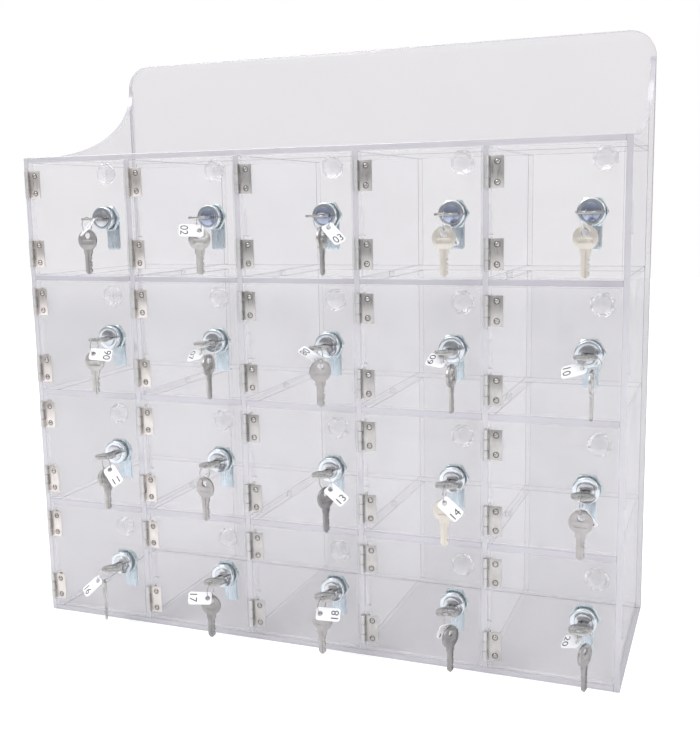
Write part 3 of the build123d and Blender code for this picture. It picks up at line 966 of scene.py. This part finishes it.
class CaseHingesOperator(bpy.types.Operator):
    """Hinge leaves, pins and screws on the case"""

    bl_idname = "locker.case_hinges"
    bl_label = "Case hinges"

    def execute(self, context):
        hinges, doors = sizes_of("locker_hinges"), sizes_of("locker_doors")
        made = {finish: hinge_meshes(finish) for finish in ("grey", "warm")}
        leaves, pins, seats = [], [], []
        depth = doors.sheet + 0.001 + hinges.screw_head
        for door in door_numbers:
            frame_parts, _, pin_parts = made[leaf_tint_and_light(door)]
            seats += screw_seats(door, hinges.leaf_sheet, depth)
            for low in hinge_floors():
                place = Matrix.Translation(door_corner(door)) @ at(0, 0, low)
                leaves += moved(frame_parts, place)
                pins += moved(pin_parts, place)
        assemble("case_hinge_leaves", leaves, "case", ["hinge_frame_leaves"])
        assemble("case_hinge_pins", pins, "case", ["hinge_pins"])
        heads = screws("case_hinge_screws", seats, (0.0, math.pi / 2, 0.0), 5)
        # Dark rings round the screws' heads: painted contact shadow, and grime.
        rings = shadow_and_grime_seats(seats, turned(90, "Z"))
        assemble("case_hinge_screws", [(heads, Matrix.Identity(4))] + rings, "case",
                 ["frame_leaf_screws"])
        return {"FINISHED"}


# Doors

def door_panel():
    """Door sheet with its lock hole; its front lies at y = 0."""
    doors, sheets = sizes_of("locker_doors"), sizes_of("locker_sheets")
    face = clear_sheet("door_face", shifted(sheets.face_colour, 1.05), doors.face_veil)
    edge = clear_sheet("door_edge", doors.edge_colour, doors.edge_veil, 0.1)
    outline = rectangle(doors.hinge_gap, doors.cell - doors.lock_gap, doors.end_gap,
                        doors.cell - doors.end_gap)
    hole = circle(doors.lock_hole, 48, doors.lock_across, doors.cell / 2)
    mesh = plate("door_panel", outline, [hole], doors.sheet, sheets.bevel, face, 1)
    mesh.materials.append(edge)
    for polygon_face in mesh.polygons:
        if abs(polygon_face.normal.z) < along_axis:
            polygon_face.material_index = 1
    return mesh, at(0, doors.sheet / 2, 0) @ facing_front


def pull():
    """Faceted clear pull on a round stem; it stands towards -Y from the door's face."""
    doors = sizes_of("locker_doors")
    sides = 8
    half_turn = math.pi / sides
    flare_top = doors.knob_stem + doors.knob_flare
    front = flare_top + doors.knob_front
    tiers = [(doors.knob_waist, doors.knob_stem), (doors.knob_across, flare_top),
             (doors.knob_crown, front)]
    bm = bmesh.new()
    rings = []
    for width, height in tiers:
        ring = [bm.verts.new((x, -height, z)) for x, z in polygon(width, sides, half_turn)]
        rings.append(ring)
    for low, high in zip(rings, rings[1:]):
        for i in range(sides):
            j = (i + 1) % sides
            bm.faces.new([low[i], low[j], high[j], high[i]])
    bm.faces.new(rings[0])
    bm.faces.new(rings[-1])
    bmesh.ops.recalc_face_normals(bm, faces=bm.faces)
    bmesh.ops.bevel(bm, geom=bm.edges[:], offset=0.00025, segments=1, profile=0.5, affect="EDGES",
                    clamp_overlap=False)
    head = closed(mesh_of("pull", bm), crystal())
    radius = doors.knob_waist / 2 - 0.0005
    stem = lathe("pull_stem", [(0.0, 0.0), (radius, 0.0), (radius, -doors.knob_stem + hair_gap),
                 (0.0, -doors.knob_stem + hair_gap)], crystal(), 32)
    place = at(doors.cell - doors.knob_side, 0.0, doors.cell - doors.knob_drop)
    return [(head, place), (stem, place)]


class DoorsOperator(bpy.types.Operator):
    """Clear doors with their faceted pulls"""

    bl_idname = "locker.doors"
    bl_label = "Doors and pulls"

    def execute(self, context):
        parts = [door_panel()] + pull()
        for door in door_numbers:
            placed = moved(parts, Matrix.Translation(door_corner(door)))
            assemble(f"door_{door}_clear", placed, f"door_{door}_body", [f"door_{door}"])
        return {"FINISHED"}


# Lock bodies and door hinges

def housing():
    """Flanged body with a threaded barrel, about the lock's axis."""
    locks = sizes_of("locker_locks")
    chrome = plated("bright_chrome", locks.chrome, shifted(locks.chrome, 0.86), 1.0, 0.15, 500.0, 0.05)
    zinc = plated("blue_zinc", locks.zinc, shifted(locks.zinc, 1.35), 1.0, 0.28)
    seat = locks.head + hair_gap
    seat_y = -locks.flange_rise + locks.head_sheet - locks.head_proud + hair_gap
    profile = [(locks.bore, 0.0005), (locks.bore, seat_y), (seat, seat_y),
               (seat, -locks.flange_rise + 0.0002), (seat + 0.0002, -locks.flange_rise)]
    rim = locks.flange_rise * 0.45
    for i in range(7):
        angle = math.radians(90 * i / 6)
        profile.append((locks.flange - rim + rim * math.sin(angle),
                        -locks.flange_rise + rim - rim * math.cos(angle)))
    profile += [(locks.flange, -0.00025), (locks.flange - 0.00025, 0.0), (locks.body - 0.0006, 0.0),
                (locks.body - 0.0006, 0.0005)]
    flange = lathe("flange", profile, chrome, 64)
    root = locks.body - locks.thread_ridge
    barrel = lathe("barrel", [(locks.bore, 0.0005), (root, 0.0005), (root, locks.body_length - 0.0004),
                   (root - 0.0004, locks.body_length), (locks.bore, locks.body_length)], zinc, 40)
    wire = locks.thread_ridge
    run = locks.body_length - 0.0013 - 2 * wire
    thread = grown("body_thread", coil_tree("Body thread", zinc, 6, False), {
        "Radius": root, "Length": run, "Turns": run / locks.thread_pitch, "Wire": wire, "Steps": 32,
    })
    middle = 0.0008 + wire + run / 2
    return [(flange, Matrix.Identity(4)), (barrel, Matrix.Identity(4)),
            (closed(thread, zinc), at(0, middle, 0))]


def hex_nut(name, width, bore, thickness, material):
    """Hexagon nut with rounded rims and chamfered corners."""
    nut = plate(name, polygon(width, 6), [circle(bore, 32)], thickness, nut_bevel, material, 1)
    corner = width / 2 / math.cos(math.pi / 6)
    half, slope = thickness / 2, corner - width / 2
    flat, tip = width / 2 * nut_room, corner * nut_room
    keep = lathe(name + "_bound", [(0.0, -half), (flat, -half), (tip, -half + slope * 0.5),
                 (tip, half - slope * 0.5), (flat, half), (0.0, half)], material, 48)
    return carved(name, nut, [keep], material, "INTERSECT", turned(90, "X"))


class DoorHardwareOperator(bpy.types.Operator):
    """Lock bodies, their nuts and the hinge leaves and screws on the doors"""

    bl_idname = "locker.door_hardware"
    bl_label = "Door hardware"

    def execute(self, context):
        doors, hinges, locks = (sizes_of("locker_doors"), sizes_of("locker_hinges"),
                                sizes_of("locker_locks"))
        made = {finish: hinge_meshes(finish) for finish in ("grey", "warm")}
        lock_parts = housing()
        zinc = bpy.data.materials["blue_zinc"]
        nut = hex_nut("body_nut", locks.nut, locks.body + 0.0001, locks.nut_sheet, zinc)
        lock_parts.append((nut, at(0, doors.sheet + locks.nut_sheet / 2, 0) @ facing_front))
        screw_x = (hinges.barrel - hinges.barrel_across + hinges.step + hinges.leaf_width / 2 + 0.0004)
        for door in door_numbers:
            corner = Matrix.Translation(door_corner(door))
            placed = moved(lock_parts, Matrix.Translation(lock_centre(door)))
            door_parts = made[leaf_tint_and_light(door)][1]
            for low in hinge_floors():
                placed += moved(door_parts, corner @ at(0, 0, low))
            seats = screw_seats(door, screw_x, -hinges.leaf_sheet)
            heads = screws(f"door_{door}_screws", seats, (math.pi / 2, 0.0, 0.0), int(door))
            placed.append((heads, Matrix.Identity(4)))
            # Dark rings round the screws' heads: painted contact shadow, and grime.
            placed += shadow_and_grime_seats(seats, Matrix.Identity(4))
            assemble(f"door_{door}_hardware", placed, f"door_{door}_body", [f"door_{door}"])
        return {"FINISHED"}


# Lock cores

def core_parts(finish):
    """Turning face, core, cam and cam nut, about the lock's axis."""
    locks, keys = sizes_of("locker_locks"), sizes_of("locker_keys")
    tone = locks.blue_face if finish == "blue" else locks.face
    face = plated(finish + "_lock_face", tone, shifted(tone, 0.8), 1.0, 0.16, 500.0, 0.05)
    core_metal = plated("core_brass", (0.62, 0.60, 0.56), (0.70, 0.67, 0.60), 1.0, 0.3)
    cam_metal = plated("cam_zinc", locks.cam, shifted(locks.cam, 1.2), 0.9, 0.28)
    zinc = plated("blue_zinc", locks.zinc, shifted(locks.zinc, 1.35), 1.0, 0.28)
    front = -locks.flange_rise - locks.head_proud
    seat = front + locks.head_sheet
    wide, tall = keys.blade / 2 + core_play, keys.sheet / 2 + core_play
    keyway = rounded(-wide, wide, -tall, tall, 0.0004, 3)
    head = plate("lock_face", circle(locks.head, 56), [keyway], locks.head_sheet, 0.00035, face, 2)
    core_end = locks.body_length + locks.cam_gap
    core = plate("core", circle(locks.core, 40), [keyway], core_end - seat, 0.0002, core_metal, 1)
    cam_end = core_end + locks.cam_sheet
    half = locks.square / 2
    square = plate("square", rectangle(-half, half, -half, half), [], locks.cam_sheet, 0.0001,
                   core_metal, 1)
    root = locks.stud - 0.0003
    stud_end = cam_end + locks.stud_length
    stud = lathe("stud", [(0.0, cam_end), (root, cam_end), (root, stud_end - 0.0004),
                 (root - 0.0004, stud_end), (0.0, stud_end)], zinc, 24)
    run = locks.stud_length - 0.0012
    thread = grown("stud_thread", coil_tree("Body thread", zinc, 6, False), {
        "Radius": root, "Length": run, "Turns": run / 0.0008, "Wire": 0.00028, "Steps": 20,
    })
    nut = hex_nut("cam_nut", locks.stud_nut, locks.stud + 0.0001, locks.stud_nut_sheet, zinc)
    across = locks.cam_width / 2
    tip = -locks.cam_reach
    outline = []
    for i in range(25):
        angle = math.pi * i / 24
        outline.append((across * math.cos(angle), across * math.sin(angle)))
    foot = rounded(-across, across, tip, tip + 4 * locks.cam_corner, locks.cam_corner, 6)
    outline += [point for point in foot if point[1] < tip + locks.cam_corner * 1.01 and point[0] < 0]
    outline += [point for point in foot if point[1] < tip + locks.cam_corner * 1.01 and point[0] > 0]
    hole = half + hair_gap
    cam = plate("cam", outline, [rectangle(-hole, hole, -hole, hole)], locks.cam_sheet, 0.0003,
                cam_metal, 2)

    def level(y):
        return at(0, y, 0) @ facing_front

    return [
        (head, level(front + locks.head_sheet / 2)),
        (core, level((seat + core_end) / 2)),
        (square, level(core_end + locks.cam_sheet / 2)),
        (stud, Matrix.Identity(4)),
        (closed(thread, zinc), at(0, cam_end + 0.0006 + run / 2, 0)),
        (cam, level(core_end + locks.cam_sheet / 2)),
        (nut, level(cam_end + locks.stud_nut_sheet / 2)),
    ]


def key_mesh(name, material):
    """Key in the XY plane: bow centre at the origin, tip towards -Y, hole above the centre."""
    keys = sizes_of("locker_keys")
    neck, blade = keys.neck / 2, keys.blade / 2
    tip = keys.bow - keys.length
    start = math.asin(-math.sqrt(keys.bow**2 - neck**2) / keys.bow)
    outline = []
    for i in range(45):
        angle = start + (math.pi - 2 * start) * i / 44
        outline.append((keys.bow * math.cos(angle), keys.bow * math.sin(angle)))
    outline += [(-neck, -keys.neck_length), (-blade, -keys.neck_length - key_shoulder),
                (-blade, tip + keys.tip), (-blade + keys.tip, tip), (blade - keys.tip, tip),
                (blade, tip + keys.tip)]
    for cut in reversed(range(keys.cuts)):
        y = -keys.neck_length - keys.cut_pitch * (cut + 1)
        depth = keys.cut * (0.6 + 0.4 * (cut % 2))
        outline += [(blade, y - depth), (blade - depth, y - 0.0002), (blade - depth, y + 0.0002),
                    (blade, y + depth)]
    outline += [(blade, -keys.neck_length - key_shoulder), (neck, -keys.neck_length)]
    hole = circle(keys.hole, 28, 0.0, keys.bow - keys.hole_end)
    mesh = plate(name, outline, [hole], keys.sheet, key_bevel, material, 1)
    cutters = []
    face = keys.sheet / 2
    for side in (-1, 1):
        x = groove_across * side
        groove = plate("groove", rounded(x - keys.groove / 2, x + keys.groove / 2, tip - 0.002,
                       -keys.neck_length + 0.003, keys.groove / 2 - 0.00001, 5), [],
                       keys.groove_depth * 2, 0.0001, material, 1)
        groove.transform(at(0, 0, face * side))
        cutters.append(groove)
        panel = plate("panel", rounded(-0.0056, 0.0056, -0.0042, 0.0002, 0.0014, 4), [], 0.0004,
                      0.0001, material, 1)
        panel.transform(at(0, 0, face * side))
        cutters.append(panel)
    return carved(name, mesh, cutters, material)


def key_finishes():
    keys = sizes_of("locker_keys")
    return {
        "nickel": plated("key_nickel", keys.nickel, shifted(keys.nickel, 1.25), 1.0, 0.30),
        "cream": plated("key_cream", keys.cream, shifted(keys.cream, 1.12), 0.75, 0.34),
        "grey": plated("key_grey", keys.grey, shifted(keys.grey, 1.2), 0.9, 0.36),
        "dark": plated("key_dark", keys.dark, shifted(keys.dark, 1.3), 0.95, 0.34),
    }


def spare_finish(lock):
    """Finish of a lock's spare key."""
    for finish, locks in spare_finishes.items():
        if lock in locks:
            return finish
    return "nickel"


def bow_end():
    """Place of the inserted key's outer end on the lock's axis."""
    locks, keys = sizes_of("locker_locks"), sizes_of("locker_keys")
    return -locks.flange_rise - locks.head_proud + keys.inserted - keys.length


def ring_frame(turn):
    """Centre of the split ring, and its directions away from the key's hole, up and along its axis."""
    keys = sizes_of("locker_keys")
    angle = math.radians(turn)
    offset = keys.bow - keys.hole_end
    to_edge = math.sqrt(keys.bow**2 - (offset * math.sin(angle))**2) - offset * math.cos(angle)
    reach = (keys.hole + to_edge) / 2
    half_strip = (to_edge - keys.hole) / 2
    inner = keys.ring - keys.wire
    z = keys.sheet / 2 + keys.rest - math.sqrt(inner**2 - half_strip**2)
    hole_y = bow_end() + keys.hole_end
    centre = Vector((reach * math.sin(angle), hole_y - reach * math.cos(angle), z))
    away = Vector((math.sin(angle), -math.cos(angle), 0.0))
    axis = Vector((-math.cos(angle), -math.sin(angle), 0.0))
    return centre, away, Vector((0.0, 0.0, 1.0)), axis


def standing(origin, x, y, z):
    """Placement whose own axes point along x, y and z."""
    return Matrix((
        (x.x, y.x, z.x, origin.x),
        (x.y, y.y, z.y, origin.y),
        (x.z, y.z, z.z, origin.z),
        (0.0, 0.0, 0.0, 1.0),
    ))


def bunch_parts(number, key, spare, ring):
    """The inserted key, the split ring and the spare key of one lock."""
    keys = sizes_of("locker_keys")
    turn = bunches[int(number) - 1][0]
    centre, away, up, axis = ring_frame(turn)
    inserted = at(0, bow_end() + keys.bow, 0) @ turned(180, "Z") @ turned(180, "Y")
    drop = keys.ring - keys.wire - keys.rest + keys.hole + keys.bow - keys.hole_end
    hanging = Matrix.Translation(centre - Vector((0, 0, drop))) @ turned(turn, "Z") @ facing_front
    return [(key, inserted), (ring, standing(centre, away, up, axis)), (spare, hanging)]


class LocksOperator(bpy.types.Operator):
    """Lock cores, cams, keys and split rings"""

    bl_idname = "locker.locks"
    bl_label = "Locks and keys"

    def execute(self, context):
        keys = sizes_of("locker_keys")
        cores = {finish: core_parts(finish) for finish in ("silver", "blue")}
        finishes = key_finishes()
        cut_keys = {kind: key_mesh(kind + "_key", metal) for kind, metal in finishes.items()}
        wire_steel = plated("ring_steel", (0.30, 0.30, 0.305), (0.46, 0.46, 0.465), 1.0, 0.22)
        wire = keys.wire / 2
        ring = grown("split_ring", coil_tree("Split ring", wire_steel, 8, True), {
            "Radius": keys.ring, "Length": 2 * wire, "Turns": 2.0, "Wire": wire, "Steps": 40,
        })
        ring = closed(ring, wire_steel)
        for lock in door_numbers:
            bunch = bunch_parts(lock, cut_keys["nickel"], cut_keys[spare_finish(lock)], ring)
            parts = cores["blue" if lock in blue_faces else "silver"] + bunch
            placed = moved(parts, Matrix.Translation(lock_centre(lock)))
            assemble(f"lock_{lock}_core", placed, f"lock_{lock}_body", [f"lock_{lock}"])
        return {"FINISHED"}


# Tags

def tag_plate():
    tags = sizes_of("locker_tags")
    white = moulded("tag_white", tags.colour, 0.38, 900.0)
    start = -tags.hole_end
    outline = rounded(start, start + tags.length, -tags.width / 2, tags.width / 2, tags.corner, 6)
    return plate("tag", outline, [circle(tags.hole, 24)], tags.sheet, 0.0002, white, 2)


def digits(number):
    """Raised ink digits of a tag, centred on the origin and reading along +X."""
    tags = sizes_of("locker_tags")
    ink = moulded("tag_ink", tags.ink, 0.55, 1500.0)
    text = bpy.data.curves.new("digits", "FONT")
    text.body = number
    text.align_x = "CENTER"
    text.align_y = "CENTER"
    text.size = tags.digit / 0.72
    text.extrude = 0.00003
    mesh = plain_mesh(linked("digits", text))
    xs = [vertex.co.x for vertex in mesh.vertices]
    ys = [vertex.co.y for vertex in mesh.vertices]
    width = max(xs) - min(xs)
    narrow = min(1.0, (tags.width - 0.0022) / width)
    middle = at(-(max(xs) + min(xs)) / 2 * narrow, -(max(ys) + min(ys)) / 2, 0)
    mesh.transform(middle @ Matrix.Diagonal((narrow, 1.0, 1.0, 1.0)))
    return closed(mesh, ink)


def tag_place(number):
    """Placement of a tag whose own +X hangs away from the ring."""
    keys, tags = sizes_of("locker_keys"), sizes_of("locker_tags")
    turn, place, swing, lean = (math.radians(angle) for angle in bunches[int(number) - 1])
    centre, away, up, axis = ring_frame(math.degrees(turn))
    outward = away * math.sin(place) - up * math.cos(place)
    along = away * math.cos(place) + up * math.sin(place)
    normal = along * math.cos(lean) + axis * math.sin(lean)
    side = normal.cross(outward)
    down = outward * math.cos(swing) + side * math.sin(swing)
    origin = centre + outward * keys.ring + down * tags.rest
    return standing(origin, down, normal.cross(down), normal)


class TagsOperator(bpy.types.Operator):
    """Numbered tags on the split rings"""

    bl_idname = "locker.tags"
    bl_label = "Number tags"

    def execute(self, context):
        tags = sizes_of("locker_tags")
        blank = tag_plate()
        far = tags.length - tags.hole_end - 0.0012 - tags.digit / 2
        for lock in door_numbers:
            centre = Matrix.Translation(lock_centre(lock))
            number_mesh = digits(lock)
            place = centre @ tag_place(lock)
            # Reading direction across the tag, tops of the digits towards the hole.
            upper = standing(Vector((far, 0, tags.sheet / 2)), Vector((0, 1, 0)), Vector((-1, 0, 0)),
                             Vector((0, 0, 1)))
            lower = standing(Vector((far, 0, -tags.sheet / 2)), Vector((0, -1, 0)), Vector((-1, 0, 0)),
                             Vector((0, 0, -1)))
            parts = [(blank, place), (number_mesh, place @ upper), (number_mesh, place @ lower)]
            assemble(f"lock_{lock}_tag", parts, f"lock_{lock}_body", [f"lock_{lock}"])
        return {"FINISHED"}


# Stage

# What a clear sheet shows behind it: the world, and the floor from 0.5 m to 4.4 m away. The floor's tone
# rises with distance: painted shade darkens the floor near the case, and painted light lifts the far
# floor that the lamps light less.
world_seen_through = (0.785, 0.772, 0.79)
floor_seen_through_with_painted_light = [
    (0.0, (0.435, 0.427, 0.443)), (0.62, (0.525, 0.515, 0.53)), (1.0, (0.64, 0.63, 0.645)),
]
# Painted light: the floor under the case is painted lighter, to lift the case's own shade there.
floor_painted_lighter_under_case = (0.465, 0.456, 0.473)
floor_drop = 0.0004
camera_place = (0.3543, -0.8918, 0.3957)
camera_right = (0.93409, 0.35662, -0.01756)
camera_up = (-0.03937, 0.15176, 0.98763)


def seen_through(nodes):
    """One where a ray has passed a clear sheet on its way from the eye, or has been refracted."""
    path = nodes.new("ShaderNodeLightPath")
    straight = number(nodes, "MULTIPLY", path.outputs["Is Camera Ray"],
                      number(nodes, "GREATER_THAN", path.outputs["Transparent Depth"], 0.5))
    return number(nodes, "MAXIMUM", straight, path.outputs["Is Transmission Ray"]), path


def studio_world():
    """White seen straight on, paler grey seen through clear sheets, and soft bands for reflections."""
    world = bpy.data.worlds.new("studio")
    bpy.context.scene.world = world
    world.use_nodes = True
    nodes = world.node_tree.nodes
    direction = nodes.new("ShaderNodeTexCoord").outputs["Generated"]
    parts = added(nodes, "ShaderNodeSeparateXYZ", {0: direction})
    height = spread(nodes, parts.outputs["Z"], -1.0, 1.0, 0.0, 1.0)
    bands = ramp(nodes, height, [
        (0.0, (0.55, 0.55, 0.55)), (0.40, (0.62, 0.62, 0.6324)), (0.52, (0.36, 0.36, 0.3672)),
        (0.60, (0.62, 0.62, 0.6324)), (0.74, (1.15, 1.15, 1.173)), (1.0, (1.0, 1.0, 1.0)),
    ])
    bands.color_ramp.interpolation = "EASE"
    behind, path = seen_through(nodes)
    seen = colour_mix(nodes, behind, (1.0, 1.0, 1.0), world_seen_through)
    looked_at = number(nodes, "MAXIMUM", path.outputs["Is Camera Ray"], behind)
    feed(nodes["Background"], {"Color": colour_mix(nodes, looked_at, bands.outputs["Color"], seen)})


def soft_light(name, place, aim, width, height, power):
    light = bpy.data.lights.new(name, "AREA")
    light.shape = "RECTANGLE"
    light.size = width
    light.size_y = height
    light.energy = power
    holder = linked(name, light)
    direction = Vector(aim) - Vector(place)
    facing = direction.to_track_quat("-Z", "Y").to_matrix().to_4x4()
    holder.matrix_world = Matrix.Translation(place) @ facing


def painted_lift_under_case(nodes, place):
    """One on the floor under the case, which its own shade would darken too much; there the floor is
    painted lighter, painted light that lifts that shade.
    """
    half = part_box("bottom_panel")[1]
    parts = added(nodes, "ShaderNodeSeparateXYZ", {0: place})
    shares = [number(nodes, "DIVIDE", number(nodes, "ABSOLUTE", parts.outputs[i]), half[i])
              for i in range(2)]
    return spread(nodes, number(nodes, "MAXIMUM", *shares), 0.96, 1.04, 1.0, 0.0)


def floor_material(colour):
    material, nodes, shader = blank_material("pale_floor")
    place = nodes.new("ShaderNodeTexCoord").outputs["Object"]
    grain = noise(nodes, place, 3.0, 4.0)
    behind = seen_through(nodes)[0]
    pale = colour_mix(nodes, grain, shifted(colour, 0.99), shifted(colour, 1.01))
    away = added(nodes, "ShaderNodeVectorMath", {0: place}, operation="LENGTH")
    # Floor tone by distance from the case: painted shade near it, painted light far off where the lamps
    # reach less.
    distance = spread(nodes, away.outputs["Value"], 0.5, 4.4, 0.0, 1.0)
    open_floor = ramp(nodes, distance, floor_seen_through_with_painted_light).outputs["Color"]
    # Painted light: the floor under the case is mixed towards a lighter tone against the case's shade.
    grey = colour_mix(nodes, painted_lift_under_case(nodes, place), open_floor, floor_painted_lighter_under_case)
    feed(shader, {
        "Base Color": colour_mix(nodes, behind, pale, grey),
        "Roughness": 0.75, "Specular IOR Level": 0.1, "Emission Color": (1.0, 1.0, 1.0, 1.0),
        "Emission Strength": number(nodes, "SUBTRACT", 0.22, number(nodes, "MULTIPLY", behind, 0.2)),
    })
    return material


class StageOperator(bpy.types.Operator):
    """Pale floor, soft studio light and the camera"""

    bl_idname = "locker.stage"
    bl_label = "Stage"

    def execute(self, context):
        stage = sizes_of("locker_stage")
        half = stage.floor_width / 2
        bm = bmesh.new()
        corners = [bm.verts.new((x, y, -floor_drop)) for x, y in rectangle(-half, half, -half, half)]
        bm.faces.new(corners)
        mesh = mesh_of("floor", bm)
        mesh.materials.append(floor_material(stage.floor))
        floor = linked("floor", mesh)
        studio_world()
        soft_light("key_light", (-1.3, -1.7, 2.2), (0, 0, 0.25), 1.6, 1.2, stage.key_power)
        soft_light("fill_light", (2.2, -1.2, 1.2), (0, 0, 0.25), 1.0, 1.4, stage.fill_power)
        soft_light("top_light", (0.0, 0.3, 2.4), (0, 0, 0.2), 2.0, 1.4, stage.fill_power * 1.6)
        camera_data = bpy.data.cameras.new("camera")
        camera_data.sensor_fit = "HORIZONTAL"
        camera_data.sensor_width = 36.0
        camera_data.lens = stage.lens * 1000
        camera_data.clip_start = 0.05
        camera_data.clip_end = 50.0
        camera = linked("camera", camera_data)
        right = Vector(camera_right).normalized()
        back = right.cross(Vector(camera_up).normalized()).normalized()
        camera.matrix_world = standing(Vector(camera_place), right, back.cross(right), back)
        context.scene.camera = camera
        context.scene.view_settings.view_transform = "Standard"
        context.scene.cycles.transparent_max_bounces = 64
        context.scene.cycles.caustics_reflective = False
        context.scene.cycles.caustics_refractive = False
        return {"FINISHED"}


class LockerPanel(bpy.types.Panel):
    bl_idname = "VIEW3D_PT_locker"
    bl_label = "Clear key locker"
    bl_space_type = "VIEW_3D"
    bl_region_type = "UI"
    bl_category = "Locker"

    def draw(self, context):
        for operator in operators:
            self.layout.operator(operator.bl_idname)
        for group, kind in groups.items():
            box = self.layout.box()
            for label in kind.__annotations__:
                box.prop(getattr(context.scene, group), label)


operators = (
    SheetsOperator,
    CaseHingesOperator,
    DoorsOperator,
    DoorHardwareOperator,
    LocksOperator,
    TagsOperator,
    StageOperator,
)


def register():
    for group, kind in groups.items():
        bpy.utils.register_class(kind)
        setattr(bpy.types.Scene, group, PointerProperty(type=kind))
    for kind in operators + (LockerPanel,):
        bpy.utils.register_class(kind)


def unregister():
    for kind in reversed(operators + (LockerPanel,)):
        bpy.utils.unregister_class(kind)
    for group, kind in reversed(list(groups.items())):
        delattr(bpy.types.Scene, group)
        bpy.utils.unregister_class(kind)


def main():
    register()
    bpy.ops.locker.sheets()
    bpy.ops.locker.case_hinges()
    bpy.ops.locker.doors()
    bpy.ops.locker.door_hardware()
    bpy.ops.locker.locks()
    bpy.ops.locker.tags()
    bpy.ops.locker.stage()


if __name__ == "__main__":
    main()
